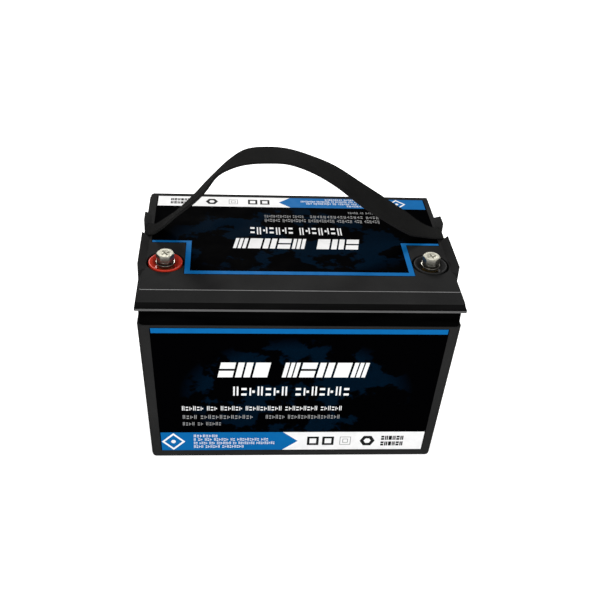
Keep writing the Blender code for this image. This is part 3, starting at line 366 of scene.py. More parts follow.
def woven_board(name, colour, thread, rough, traces=None):
    """Glass-fibre board with its cloth showing; traces adds the board's copper runs under the mask."""
    made = Finish(name, colour, rough, Specular_IOR_Level=0.4)
    split = made.node("SeparateXYZ", {"Vector": made.place})
    waves = [made.wave(split.outputs[axis], thread) for axis in ("X", "Y")]
    cloth = made.math("MULTIPLY", *waves)
    lighter = tuple(min(1.0, channel * 1.5) for channel in colour)
    tone = made.mix(made.remap(cloth, -1.0, 1.0), colour, lighter)
    layers = [(cloth, 0.02 * MM, 0.4)]
    if traces:
        steps = made.node(
            "TexBrick",
            {"Vector": made.place, "Scale": 1.0 / (9 * MM), "Mortar Size": 0.05, "Mortar Smooth": 0.2},
            offset=0.37, squash=0.7, squash_frequency=3,
        ).outputs["Fac"]
        tone = made.mix(steps, tone, traces)
        layers.append((steps, 0.04 * MM, 0.5))
    made.drive("Base Color", tone)
    made.relief(*layers)
    return made.material


def stand_floor(name, colour, lift):
    """A matt pale floor; lift brightens it where the camera looks at it, but lights nothing."""
    made = Finish(name, colour, 0.95, Specular_IOR_Level=0.0)
    drift = made.noise(0.8, 3.0)
    off = tuple(channel * 0.985 for channel in colour)
    made.drive("Base Color", made.mix(drift, colour, off))
    made.shader.inputs["Emission Color"].default_value = (1.0, 1.0, 1.0, 1.0)
    seen = made.node("LightPath").outputs["Is Camera Ray"]
    made.drive("Emission Strength", made.math("MULTIPLY", seen, lift))
    return made.material


ABS_BLACK = moulded_plastic("case_plastic_grained", (0.0155,) * 3, (0.0225,) * 3, 0.75 * MM, 0.6, 0.003)
# painted highlight: a light grey for the thin line along the lid plate's front and rear edges
ABS_EDGE_HIGHLIGHT = polished_plastic("case_plastic_painted_edge_highlight", (0.17,) * 3, 0.4, 0.2)
# painted highlight: a mid grey for the highlight line on the lid lip's front face
ABS_LIP_HIGHLIGHT = polished_plastic("case_plastic_painted_lip_highlight", (0.085,) * 3, 0.4, 0.15)
# painted shade: near black for the lid's band between the lip and the shoulder
ABS_BAND_SHADE = polished_plastic("case_plastic_painted_band_shade", (0.003,) * 3, 0.45, 0.004)
# painted shade: near black for the case's band under the lid's lip
ABS_RECESS_SHADE = polished_plastic("case_plastic_painted_recess_shade", (0.0003,) * 3, 0.6, 0.002)
FRONT_FILM = label_film("label_film_front", 2, (0.0, 0.0, 74 * MM), (98 * MM, 60 * MM))
TOP_FILM = label_film("label_film_top", 1, (0.0, 0.0, 0.0), (112 * MM, 62 * MM))
INK_BLUE = printed_ink("label_ink_blue", (0.0036, 0.125, 0.365))
INK_WHITE = printed_ink("label_ink_white", (0.86,) * 3)
INK_BLACK = printed_ink("label_ink_black", (0.012,) * 3)
INK_GREY = printed_ink("label_ink_grey", (0.32,) * 3)
WEBBING = webbing("webbing_black")
RED_RING = polished_plastic("terminal_red", (0.44, 0.028, 0.014), 0.36, 0.12)
BLACK_RING = polished_plastic("terminal_black", (0.021, 0.021, 0.0215), 0.5, 0.04)
NICKEL_BRIGHT, NICKEL_DULL = (0.74, 0.73, 0.63), (0.60, 0.59, 0.50)
NICKEL_TURNED = (0.47, 0.46, 0.395), (0.38, 0.37, 0.31)
# painted shade: a darker copy of the bolt's nickel for the sides of its head
NICKEL_SIDE_SHADE = plated_metal("nickel_plate_side_painted_shade", (0.42, 0.41, 0.36), (0.31, 0.30, 0.255), 0.34)
# painted shade: a dark copy of nickel for the washers under the bolt head
NICKEL_WASHER_SHADE = plated_metal("nickel_washer_painted_shade", (0.20, 0.19, 0.165), (0.12, 0.115, 0.10), 0.34)
INNER_FINISHES = {
    "nickel": plated_metal("nickel_plate", NICKEL_BRIGHT, NICKEL_DULL, 0.24),
    "brass": plated_metal("brass", (0.74, 0.53, 0.22), (0.52, 0.35, 0.13), 0.28),
    "rubber": soft_solid("seal_rubber", (0.006,) * 3, (0.011,) * 3, 0.4 * MM, 0.02 * MM, 0.7),
    "cell_case": polished_plastic("cell_shrink_film", (0.015, 0.085, 0.33), 0.3, 0.5),
    "foam": soft_solid("packing_foam", (0.05,) * 3, (0.15,) * 3, 1.1 * MM, 0.25 * MM, 0.95),
    "busbar_copper": plated_metal("tinned_copper", (0.78, 0.74, 0.70), (0.66, 0.52, 0.44), 0.3),
    "fibre_board": woven_board("fibre_board", (0.09, 0.20, 0.07), 1.4 * MM, 0.55),
    "circuit_board": woven_board("circuit_board", (0.008, 0.09, 0.03), 0.9 * MM, 0.35, (0.02, 0.2, 0.07)),
    "heat_sink": plated_metal("heat_sink_aluminium", (0.80, 0.80, 0.81), (0.62, 0.62, 0.64), 0.33),
    "red_cable": polished_plastic("red_cable_jacket", (0.42, 0.010, 0.010), 0.4, 0.4),
    "black_cable": polished_plastic("black_cable_jacket", (0.012,) * 3, 0.4, 0.4),
    "white_nylon": polished_plastic("white_nylon", (0.68, 0.68, 0.63), 0.45, 0.4),
}


# ------ shapes


def skin(rings, closed_loop=False):
    """A closed surface over rings of points; a ring of one point is a tip, and open ends are capped."""
    bm = bmesh.new()
    rows = [[bm.verts.new(point) for point in ring] for ring in rings]
    pairs = list(zip(rows, rows[1:]))
    if closed_loop:
        pairs.append((rows[-1], rows[0]))
    for low, high in pairs:
        count = max(len(low), len(high))
        for i in range(count):
            j = (i + 1) % count
            corners = (low[i % len(low)], low[j % len(low)], high[j % len(high)], high[i % len(high)])
            bm.faces.new(list(dict.fromkeys(corners)))
    if not closed_loop:
        for end in (rows[0], rows[-1]):
            if len(end) > 2:
                bm.faces.new(end)
    bmesh.ops.recalc_face_normals(bm, faces=bm.faces[:])
    return bm


def eased(points, reaches, steps=EASE_STEPS, closed=False):
    """The points with each corner turned into a short curve that starts its reach from the corner."""
    points = [Vector(point) for point in points]
    last = len(points) - 1
    made = []
    for i, point in enumerate(points):
        if not reaches[i] or (not closed and i in (0, last)):
            made.append(point)
            continue
        before, after = points[i - 1] - point, points[(i + 1) % len(points)] - point
        start = point + before.normalized() * min(reaches[i], 0.49 * before.length)
        end = point + after.normalized() * min(reaches[i], 0.49 * after.length)
        for step in range(steps + 1):
            t = step / steps
            made.append(start * (1 - t) ** 2 + point * 2 * t * (1 - t) + end * t * t)
    return made


def rounded_rectangle(half_x, half_y, radius):
    points = []
    for quarter, (side_x, side_y) in enumerate(((1, 1), (-1, 1), (-1, -1), (1, -1))):
        for step in range(CORNER_STEPS + 1):
            angle = (quarter + step / CORNER_STEPS) * math.pi / 2
            points.append((
                side_x * (half_x - radius) + radius * math.cos(angle),
                side_y * (half_y - radius) + radius * math.sin(angle),
            ))
    return points


def shell(rows):
    """A surface over rounded rectangles: rows of height, half sizes, corner radius and easing, in mm."""
    rings = []
    for height, half_x, half_y, corner in eased([row[:4] for row in rows], [row[4] for row in rows]):
        outline = rounded_rectangle(half_x * MM, half_y * MM, corner * MM)
        rings.append([(x, y, height * MM) for x, y in outline])
    return skin(rings)


def around(centre, radius, angle):
    return centre[0] + radius * math.cos(angle), centre[1] + radius * math.sin(angle)


def lathe(centre, profile, steps=72, closed_loop=False, radius_at=None):
    """Rings about a vertical axis; radius_at may change a (radius, z) for an angle."""
    rings = []
    for radius, height in profile:
        if radius == 0.0:
            rings.append([(*centre, height)])
            continue
        ring = []
        for step in range(steps):
            angle = math.tau * step / steps
            r, z = radius_at(radius, height, angle) if radius_at else (radius, height)
            ring.append((*around(centre, r, angle), z))
        rings.append(ring)
    return skin(rings, closed_loop)


def profile(corners, closed=False):
    """(radius, z) points from corners of (radius, z, easing) in millimetres."""
    points = eased([corner[:2] for corner in corners], [corner[2] for corner in corners], closed=closed)
    return [(r * MM, z * MM) for r, z in points]


def prisms(outlines, low, high, place):
    """Closed prisms on outlines in a plane's own coordinates, in millimetres."""
    bm = bmesh.new()
    for outline in outlines:
        rings = [[bm.verts.new(place @ Vector((u, v, w))) for u, v in outline] for w in (low, high)]
        for i in range(len(outline)):
            j = (i + 1) % len(outline)
            bm.faces.new((rings[0][i], rings[0][j], rings[1][j], rings[1][i]))
        bm.faces.new(rings[0])
        bm.faces.new(rings[1])
    return bm


def add_ring(bm, outer, inner, low, high, place):
    """A closed flat ring between two outlines with equal counts of points."""
    loops = [
        [bm.verts.new(place @ Vector((u, v, w))) for u, v in outline]
        for outline, w in ((outer, low), (outer, high), (inner, high), (inner, low))
    ]
    for first, second in zip(loops, loops[1:] + loops[:1]):
        for i in range(len(outer)):
            j = (i + 1) % len(outer)
            bm.faces.new((first[i], first[j], second[j], second[i]))


def polygon(centre, radius, sides, turn=0.0):
    """Corner points of a regular polygon."""
    return [around(centre, radius, turn + math.tau * i / sides) for i in range(sides)]


def helper(name, bm):
    """An object in the scene with a shape's mesh."""
    bmesh.ops.recalc_face_normals(bm, faces=bm.faces[:])
    mesh = bpy.data.meshes.new(name)
    bm.to_mesh(mesh)
    bm.free()
    obj = bpy.data.objects.new(name, mesh)
    bpy.context.scene.collection.objects.link(obj)
    return obj


def piece(name, bm, finish, body, replaces=(), sharp=SHARP_ANGLE):
    """A finished piece of the object, riding on its body."""
    obj = helper(name, bm)
    obj.data.materials.append(finish)
    smooth(obj, sharp)
    if replaces:
        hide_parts(*replaces)
    if body:
        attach(obj, body)
    return obj


def smooth(obj, sharp):
    obj.data.shade_smooth()
    obj.data.set_sharp_from_angle(angle=math.radians(sharp))


def carve(obj, joins=(), cuts=()):
    """Unites and subtracts shapes, and makes the result real."""
    tools = []
    for operation, shapes in (("UNION", joins), ("DIFFERENCE", cuts)):
        for shape in shapes:
            tools.append(helper("tool", shape))
            modifier = obj.modifiers.new("carve", "BOOLEAN")
            modifier.operation = operation
            modifier.solver = "EXACT"
            modifier.object = tools[-1]
    bpy.context.view_layer.update()
    graph = bpy.context.evaluated_depsgraph_get()
    obj.data = bpy.data.meshes.new_from_object(obj.evaluated_get(graph))
    obj.modifiers.clear()
    for tool in tools:
        bpy.data.objects.remove(tool)


def break_edges(obj, width, angle):
    """Rounds the edges that turn by more than an angle in degrees."""
    bevel = obj.modifiers.new("eased_edges", "BEVEL")
    bevel.width = width
    bevel.segments = 2
    bevel.limit_method = "ANGLE"
    bevel.angle_limit = math.radians(angle)
    return bevel


def soften(obj, width):
    """Rounds the sharp edges, and keeps the flat faces flat in the shading."""
    break_edges(obj, width, 40).miter_outer = "MITER_ARC"
    obj.modifiers.new("flat_faces", "WEIGHTED_NORMAL").keep_sharp = True


def outside(point, halves):
    """Whether a point lies past either half width."""
    return abs(point.x) > halves[0] or abs(point.y) > halves[1]


def paint(obj, material, chosen):
    """Gives a material to the faces whose centre and normal pass a test."""
    obj.data.materials.append(material)
    index = len(obj.data.materials) - 1
    for face in obj.data.polygons:
        if chosen(face.center, face.normal):
            face.material_index = index


def catmull_rom(points, per_span):
    points = [Vector(point) for point in points]
    ends = [2 * points[0] - points[1], *points, 2 * points[-1] - points[-2]]
    made = []
    for a, b, c, d in zip(ends, ends[1:], ends[2:], ends[3:]):
        for step in range(per_span):
            t = step / per_span
            made.append(
                0.5 * (2 * b + (c - a) * t + (2 * a - 5 * b + 4 * c - d) * t**2
                       + (3 * b - a - 3 * c + d) * t**3)
            )
    made.append(points[-1])
    return made


# ------ case


def wall_plane(side):
    """The plane of a tapered wall (0 front, 1 right, 2 rear, 3 left): u along it, v up, w outwards."""
    wall = 1 if side % 2 == 0 else 0
    up = Vector((0.0, BASE_HALF[wall] - PANEL_TOP_HALF[wall], PANEL_TOP_Z)).normalized()
    right = Vector((1.0, 0.0, 0.0))
    out = right.cross(up)
    axes = Matrix((right * MM, up * MM, out * MM)).transposed().to_4x4()
    spin = Matrix.Rotation(side * math.pi / 2, 4, "Z")
    return spin @ Matrix.Translation((0.0, -BASE_HALF[wall], 0.0)) @ axes


def trapezium(half_top, half_bottom, low, high, corner):
    """A panel's outline with rounded corners."""
    corners = [(-half_bottom, low), (half_bottom, low), (half_top, high), (-half_top, high)]
    return eased(corners, [corner] * 4, closed=True)


def make_case():
    case = piece("case_shell", shell(CASE_ROWS), ABS_BLACK, None, ["case_box"])
    pockets = []
    for side in range(4):
        top, bottom = END_POCKET_HALF if side % 2 else FRONT_HALF
        low, high = FRONT_V[0] - FILM_GAP, FRONT_V[1] + FILM_GAP
        outline = trapezium(top + FILM_GAP, bottom + FILM_GAP, low, high, 1.6)
        pockets.append(prisms([outline], -POCKET_DEPTH, CUTTER_RISE / 2, wall_plane(side)))
    carve(case, cuts=pockets)
    smooth(case, SHARP_ANGLE)
    band = PANEL_TOP_Z + 0.5 * MM
    inner = [half - 4 * MM for half in PANEL_TOP_HALF]
    # painted shade: the band above the front panels, under the lid's lip, is painted near black
    paint(case, ABS_RECESS_SHADE, lambda c, n: c.z > band and outside(c, inner))
    soften(case, 0.3 * MM)
    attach(case, "case")


def ear_wedge(side, front, flat_end, rear):
    """A wedge on the lid's end that ramps up to its outer face and slopes down behind flat_end."""
    root = LIP_TOP_Z - 0.1 * MM
    rings = []
    for x, top in zip(EAR_X, (PLATE_Z - 0.1 * MM, EAR_TOP_Z, EAR_TOP_Z)):
        outline = [(front, root), (rear, root)]
        if rear > flat_end:
            outline.append((rear, min(top, SHOULDER_Z)))
        outline += [(flat_end, top), (front, top)]
        rings.append([(side * x, y, z) for y, z in outline])
    return skin(rings)


def well_cutter(centre):
    """A flared round well."""
    radius, floor, top = WELL_RADIUS, WELL_FLOOR_Z, PLATE_Z / MM
    return lathe(centre, profile((
        (0.0, floor, 0.0), (radius, floor, 0.6), (radius, top - 0.2, 0.5), (radius + 0.9, top + 0.05, 0.3),
        (radius + 0.9, top + CUTTER_RISE, 0.0), (0.0, top + CUTTER_RISE, 0.0),
    )), steps=96)


def top_plane():
    """The top label's plane, turned to be read from the rear: u towards -X, v towards -Y."""
    return Matrix.Translation((0.0, 0.0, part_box("top_label")[1].z)) @ Matrix.Diagonal((-MM, -MM, MM, 1.0))


def top_outline(margin, corner):
    low, high = TOP_V[0] - margin, TOP_V[1] + margin
    wide, narrow, tongue = TOP_HALF + margin, TONGUE_HALF + margin, TONGUE_V + margin
    corners = [
        (-wide, low), (wide, low), (wide, high), (narrow, high), (narrow, tongue), (-narrow, tongue),
        (-narrow, high), (-wide, high),
    ]
    return eased(corners, [corner] * 8, closed=True)


def box_shape(low, high):
    bm = bmesh.new()
    low, high = Vector(low), Vector(high)
    place = Matrix.Translation((low + high) / 2) @ Matrix.Diagonal((*(high - low), 1.0))
    bmesh.ops.create_cube(bm, size=1.0, matrix=place)
    return bm


def make_lid():
    lid = piece("lid_shell", shell(LID_ROWS), ABS_BLACK, None, ["case_lid"])
    joins, cuts = [], []
    for side in (-1, 1):
        centre = (side * TERMINAL_X, TERMINAL_Y)
        front_end, rear_end = SLOT_LOW[1], SLOT_HIGH[1]
        joins.append(ear_wedge(side, EAR_FRONT_Y, front_end, front_end))
        joins.append(ear_wedge(side, rear_end, *EAR_SLOPE_Y))
        radius, (low, high) = CUP_RADIUS, CUP_Z
        cup = profile(((0.0, low, 0.0), (radius, low, 0.4), (radius, high, 0.0), (0.0, high, 0.0)))
        joins.append(lathe(centre, cup))
        cuts.append(well_cutter(centre))
        hole, (low, high) = INSERT_HOLE_RADIUS, INSERT_HOLE_Z
        cuts.append(lathe(centre, [(0.0, low), (hole, low), (hole, high), (0.0, high)]))
        xs = sorted((side * SLOT_LOW[0], side * SLOT_HIGH[0]))
        cuts.append(box_shape((xs[0], *SLOT_LOW[1:]), (xs[1], *SLOT_HIGH[1:])))
        cuts.append(pin_bore(side * SLOT_LOW[0], 8 * MM))
    pocket = top_outline(FILM_GAP, 1.4)
    cuts.append(prisms([pocket], -FILM_THICK - FILM_GAP, CUTTER_RISE, top_plane()))
    carve(lid, joins, cuts)
    smooth(lid, SHARP_ANGLE)
    hair = 0.1 * MM
    lip_face = [half - hair / 2 for half in LIP_HALF]
    # painted shade: the band between the lip and the shoulder is painted near black
    paint(lid, ABS_BAND_SHADE, lambda c, n: (
        LIP_TOP_Z - hair < c.z < SHOULDER_Z - 5 * hair and n.z > -0.1 and outside(c, BAND_HALF)
        and (abs(c.x) < EAR_FACE[0] or abs(c.y) > EAR_FACE[1])
    ))
    # painted highlight: the lip's front face is painted lighter grey as a highlight line
    paint(lid, ABS_LIP_HIGHLIGHT, lambda c, n: (
        LIP_BOTTOM_Z + 2 * hair < c.z < LIP_TOP_Z - hair and n.z < 0.3 and outside(c, lip_face)
    ))
    # painted highlight: faces on the plate's front and rear edges are painted light grey as a highlight
    # line
    paint(lid, ABS_EDGE_HIGHLIGHT, lambda c, n: (
        PLATE_Z - 4 * hair < c.z < PLATE_Z - hair / 5 and abs(c.y) > PLATE_EDGE_Y and n.z > 0.5
    ))
    soften(lid, 0.35 * MM)
    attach(lid, "case")


def pin_bore(x, length):
    """A round cutter along the strap's axis."""
    radius, half = PIN_RADIUS + 0.3 * MM, length / 2
    bm = lathe((0.0, 0.0), [(0.0, -half), (radius, -half), (radius, half), (0.0, half)], 40)
    turn = Matrix.Rotation(math.pi / 2, 4, "Y")
    bm.transform(Matrix.Translation((x, STRAP_Y, STRAP_AXIS_Z)) @ turn)
    return bm


# ------ labels


# Plain blocks that stand in for lettering, as (left, bottom, right, top) in a unit cell.
BOLD_MARKS = (
    ((0.0, 0.0, 1.0, 0.44), (0.0, 0.58, 1.0, 1.0)),
    ((0.0, 0.0, 0.42, 1.0), (0.56, 0.0, 1.0, 1.0)),
    ((0.0, 0.0, 1.0, 1.0),),
    ((0.0, 0.0, 0.28, 1.0), (0.38, 0.0, 0.64, 1.0), (0.74, 0.0, 1.0, 1.0)),
)
FINE_MARKS = (
    ((0.0, 0.0, 0.26, 1.0), (0.56, 0.0, 0.82, 1.0)),
    ((0.0, 0.0, 0.84, 0.24), (0.0, 0.60, 0.84, 0.84)),
    ((0.0, 0.0, 0.26, 0.84), (0.44, 0.3, 0.84, 0.56)),
)


def line_of_marks(words, area, marks, fill, slant=0.0):
    """Outlines of block marks set in words of so many marks across an area (left, bottom, right, top)."""
    left, bottom, right, top = area
    pitch = (right - left) / (sum(words) + 0.7 * (len(words) - 1))
    height = top - bottom
    outlines, start, count = [], left, 0
    for word in words:
        for _ in range(word):
            for x0, y0, x1, y1 in marks[count % len(marks)]:
                corners = ((x0, y0), (x1, y0), (x1, y1), (x0, y1))
                outlines.append([
                    (start + x * pitch * fill + slant * y * height, bottom + y * height) for x, y in corners
                ])
            start += pitch
            count += 1
        start += 0.7 * pitch
    return outlines


def paragraph(lines, area, leading):
    """Small marks in several lines from the top of an area down; each line is its words and its reach."""
    left, bottom, right, top = area
    outlines = []
    height = (top - bottom) / (len(lines) * leading - leading + 1.0)
    for row, (words, reach) in enumerate(lines):
        high = top - row * leading * height
        line = (left, high - height, left + (right - left) * reach, high)
        outlines += line_of_marks(words, line, FINE_MARKS, 0.8)
    return outlines


def print_ink(name, outlines, place, finish, level=0.0, rings=()):
    """One piece of raised ink from outlines and rings; level lifts it over ink that it overprints."""
    low, high = level - 0.02, level + 0.05
    bm = prisms(outlines, low, high, place)
    for outer, inner in rings:
        add_ring(bm, outer, inner, low, high, place)
    return piece(name, bm, finish, "case")


def rectangle(left, bottom, right, top):
    return [(left, bottom), (right, bottom), (right, top), (left, top)]


def badge_band(label, place, halves, low, high, arrow, small, marks, emblem):
    """The label's foot: a blue arrow over white, with small print, a diamond and plain badges.

    halves are the half widths at low and at high; arrow is its u at the foot and at the tip.
    marks are the centres of the badges: a pair of squares, a thin square and a hexagon, then two short
    lines' left and right ends; emblem is the diamond's centre and radius.
    """
    middle = (low + high) / 2
    base, tip = arrow
    wide_low, wide_high = halves
    blue = [(-wide_low, low), (base, low), (tip, middle), (base, high), (-wide_high, high)]
    white = [(base, low), (wide_low, low), (wide_high, high), (base, high), (tip, middle)]
    print_ink(f"{label}_arrow", [blue], place, INK_BLUE)
    print_ink(f"{label}_foot_white", [white], place, INK_WHITE)
    text = paragraph(
        (((8,), 0.3), ((1, 2, 3, 6, 2, 9, 3), 0.92), ((2, 4, 3, 7, 2, 8, 9), 1.0), ((4, 6, 9), 0.62)),
        small, 1.35,
    )
    centre, radius = emblem
    dot = polygon(centre, radius * 0.2, 16)
    diamond = (polygon(centre, radius, 4), polygon(centre, radius * 0.76, 4))
    print_ink(f"{label}_small_print", [*text, dot], place, INK_WHITE, 0.06, [diamond])
    pair, thin, hexagon, short_left, short_right = marks
    half = (high - low) * 0.27

    def badge(u, outer, inner, sides=4, turn=math.pi / 4):
        """A ring between two polygons, with radii in shares of the badges' half height."""
        return tuple(polygon((u, middle), half * radius, sides, turn) for radius in (outer, inner))

    rings = [badge(pair + shift, 1.25, 0.72) for shift in (-half * 1.15, half * 1.15)]
    rings.append(badge(hexagon, 1.15, 0.55, 6, 0.0))
    lines = []
    for v in (middle + half * 0.15, middle - half * 1.05):
        lines += line_of_marks((6,), (short_left, v, short_right, v + half * 0.85), BOLD_MARKS, 0.8)
    print_ink(f"{label}_badges", lines, place, INK_BLACK, 0.06, rings)
    thin_rings = [badge(thin, size * 1.2, size * 1.2 - 0.16) for size in (1.0, 0.5)]
    print_ink(f"{label}_thin_badge", [], place, INK_GREY, 0.06, thin_rings)


def print_lettering(label, place, title, bright, dim):
    """Marks in place of the label's words; a line is its words, its area and how full its marks are."""
    bold = line_of_marks(*title, BOLD_MARKS, 0.86, slant=0.18)
    inks = (("lettering", INK_WHITE, bold, bright), ("dim_lettering", INK_GREY, [], dim))
    for name, finish, outlines, lines in inks:
        for words, area, fill in lines:
            outlines += line_of_marks(words, area, FINE_MARKS, fill)
        print_ink(f"{label}_{name}", outlines, place, finish)


def make_front_label():
    place = wall_plane(0)
    top, bottom = FRONT_HALF
    low, high = FRONT_V
    film = prisms([trapezium(top, bottom, low, high, 1.4)], -FILM_THICK, 0.0, place)
    sheet = piece("front_label_film", film, FRONT_FILM, "case", ["front_label"])
    soften(sheet, FILM_EASE)

    def half_at(v, inset):
        return bottom + (top - bottom) * (v - low) / (high - low) - inset

    stripe_low, stripe_high = 137.4, high - 0.2
    wide = [(half_at(v, 0.6), v) for v in (stripe_low, stripe_high)]
    stripe = [(-wide[0][0], stripe_low), *wide, (-wide[1][0], stripe_high)]
    print_ink("front_label_stripe", [stripe], place, INK_BLUE)
    foot_low, foot_high = low + 0.2, 29.0
    badge_band(
        "front_label", place, (half_at(foot_low, 0.5), half_at(foot_high, 0.5)), foot_low, foot_high,
        (-9.5, 3.6), (-86.0, 10.5, -16.0, 26.5), (23.5, 45.2, 64.6, 76.7, 97.0), ((-103.5, 18.2), 10.0),
    )
    print_lettering("front_label", place, ((3, 5), (-66.0, 91.6, 57.5, 107.4)), (
        ((7, 7), (-53.0, 71.5, 46.0, 81.5), 0.78),
        ((6, 3, 6, 10, 9, 6), (-95.5, 54.6, 40.0, 59.6), 0.8),
    ), (
        ((4, 14), (-95.0, 45.0, -35.0, 49.4), 0.74),
        ((6, 16), (-25.0, 45.0, 39.0, 49.4), 0.74),
        ((4, 2, 5), (-95.0, 37.4, -62.0, 41.2), 0.74),
    ))


def make_top_label():
    place = top_plane()
    film = prisms([top_outline(0.0, 1.2)], -FILM_THICK, 0.0, place)
    sheet = piece("top_label_film", film, TOP_FILM, "case", ["top_label"])
    soften(sheet, FILM_EASE)
    wide, high = TOP_HALF - 0.4, TOP_V[1] - 0.2
    outer, inner = TONGUE_HALF - 0.2, TONGUE_HALF - 4.5
    front = TONGUE_V - 0.2
    border = [
        (-wide, high - 3.0), (-inner, high - 3.0), (-inner, front - 4.6), (inner, front - 4.6),
        (inner, high - 3.0), (wide, high - 3.0), (wide, high), (outer, high), (outer, front),
        (-outer, front), (-outer, high), (-wide, high),
    ]
    print_ink("top_label_border", [border], place, INK_BLUE)
    edge = TOP_HALF - 0.8
    badge_band(
        "top_label", place, (edge, edge), TOP_V[0] + 0.4, -55.0, (2.5, 12.6),
        (-66.0, -71.5, -7.0, -57.0), (30.7, 53.6, 72.8, 92.0, 110.0), ((-95.5, -64.0), 8.0),
    )
    print_lettering("top_label", place, ((3, 5), (-53.5, -0.3, 53.0, 15.8)), (
        ((7, 7), (-39.5, -19.0, 41.0, -7.0), 0.78),
    ), (
        ((6, 3, 6, 10, 9, 6), (-75.0, -33.8, 27.0, -28.4), 0.78),
        ((4, 16), (-75.0, -40.6, -13.0, -36.0), 0.74),
        ((5, 12), (-8.0, -40.6, 27.0, -36.0), 0.74),
        ((4, 2, 5), (-71.5, -48.0, -48.0, -44.6), 0.74),
    ))


# ------ terminals


def make_ring(centre, sign, finish):
    corners = (
        (12.75, 172.3, 0.3), (13.7, 172.3, 0.6), (13.7, 163.8, 0.4), (6.95, 163.8, 0.2),
        (6.95, 167.0, 0.3), (8.7, 167.0, 1.0), (11.9, 171.5, 0.7),
    )
    ring = lathe(centre, profile(corners, closed=True), 96, closed_loop=True)
    piece(f"terminal_cup_{sign}", ring, finish, "case", [f"terminal_ring_{sign}"], sharp=60.0)


def make_insert(centre, sign):
    corners = (
        (0.0, 150.0, 0.0), (4.35, 150.0, 0.3), (4.35, 168.5, 0.0), (4.75, 168.9, 0.1), (6.5, 168.9, 0.25),
        (6.5, 158.6, 0.3), (11.0, 158.6, 0.4), (11.0, 155.2, 0.4), (5.0, 155.2, 0.2), (5.0, 144.0, 0.6),
        (0.0, 144.0, 0.0),
    )

    def knurled(radius, height, angle):
        grip = radius > 10.9 * MM and math.cos(angle * KNURL_TEETH) > 0.0
        return (radius * KNURL_SHARE if grip else radius), height

    shape = lathe(centre, profile(corners), 4 * KNURL_TEETH, radius_at=knurled)
    name, finish = f"terminal_insert_{sign}", INNER_FINISHES["brass"]
    piece(f"threaded_insert_{sign}", shape, finish, "case", [name])


def make_washers(centre, sign):
    low, high = (corner.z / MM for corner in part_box(f"flat_washer_{sign}"))
    bore, outer = WASHER_BORE, FLAT_WASHER
    corners = ((bore, high, 0.2), (outer, high, 0.3), (outer, low, 0.3), (bore, low, 0.2))
    flat = lathe(centre, profile(corners, closed=True), 96, closed_loop=True)
    body = f"{sign}_washers"
    # painted shade: both washers are painted a dark nickel, darker than the bolt head, as shade under the
    # head
    piece(f"flat_washer_turned_{sign}", flat, NICKEL_WASHER_SHADE, body, [f"flat_washer_{sign}"])
    low, high = (corner.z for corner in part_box(f"spring_washer_{sign}"))
    bore, outer = WASHER_BORE * MM, SPRING_WASHER * MM
    rise, thick = SPRING_RISE * MM, high - low - SPRING_RISE * MM
    steps = 72
    rings = []
    for step in range(steps + 1):
        share = step / steps
        angle = SPLIT_ANGLE + SPLIT_HALF + share * (math.tau - 2 * SPLIT_HALF)
        base = low + rise * share
        corners = ((bore, base), (outer, base), (outer, base + thick), (bore, base + thick))
        section = eased(corners, [0.25 * MM] * 4, 3, closed=True)
        rings.append([(*around(centre, r, angle), z) for r, z in section])
    name = f"spring_washer_{sign}"
    piece(f"spring_washer_split_{sign}", skin(rings), NICKEL_WASHER_SHADE, body, [name])


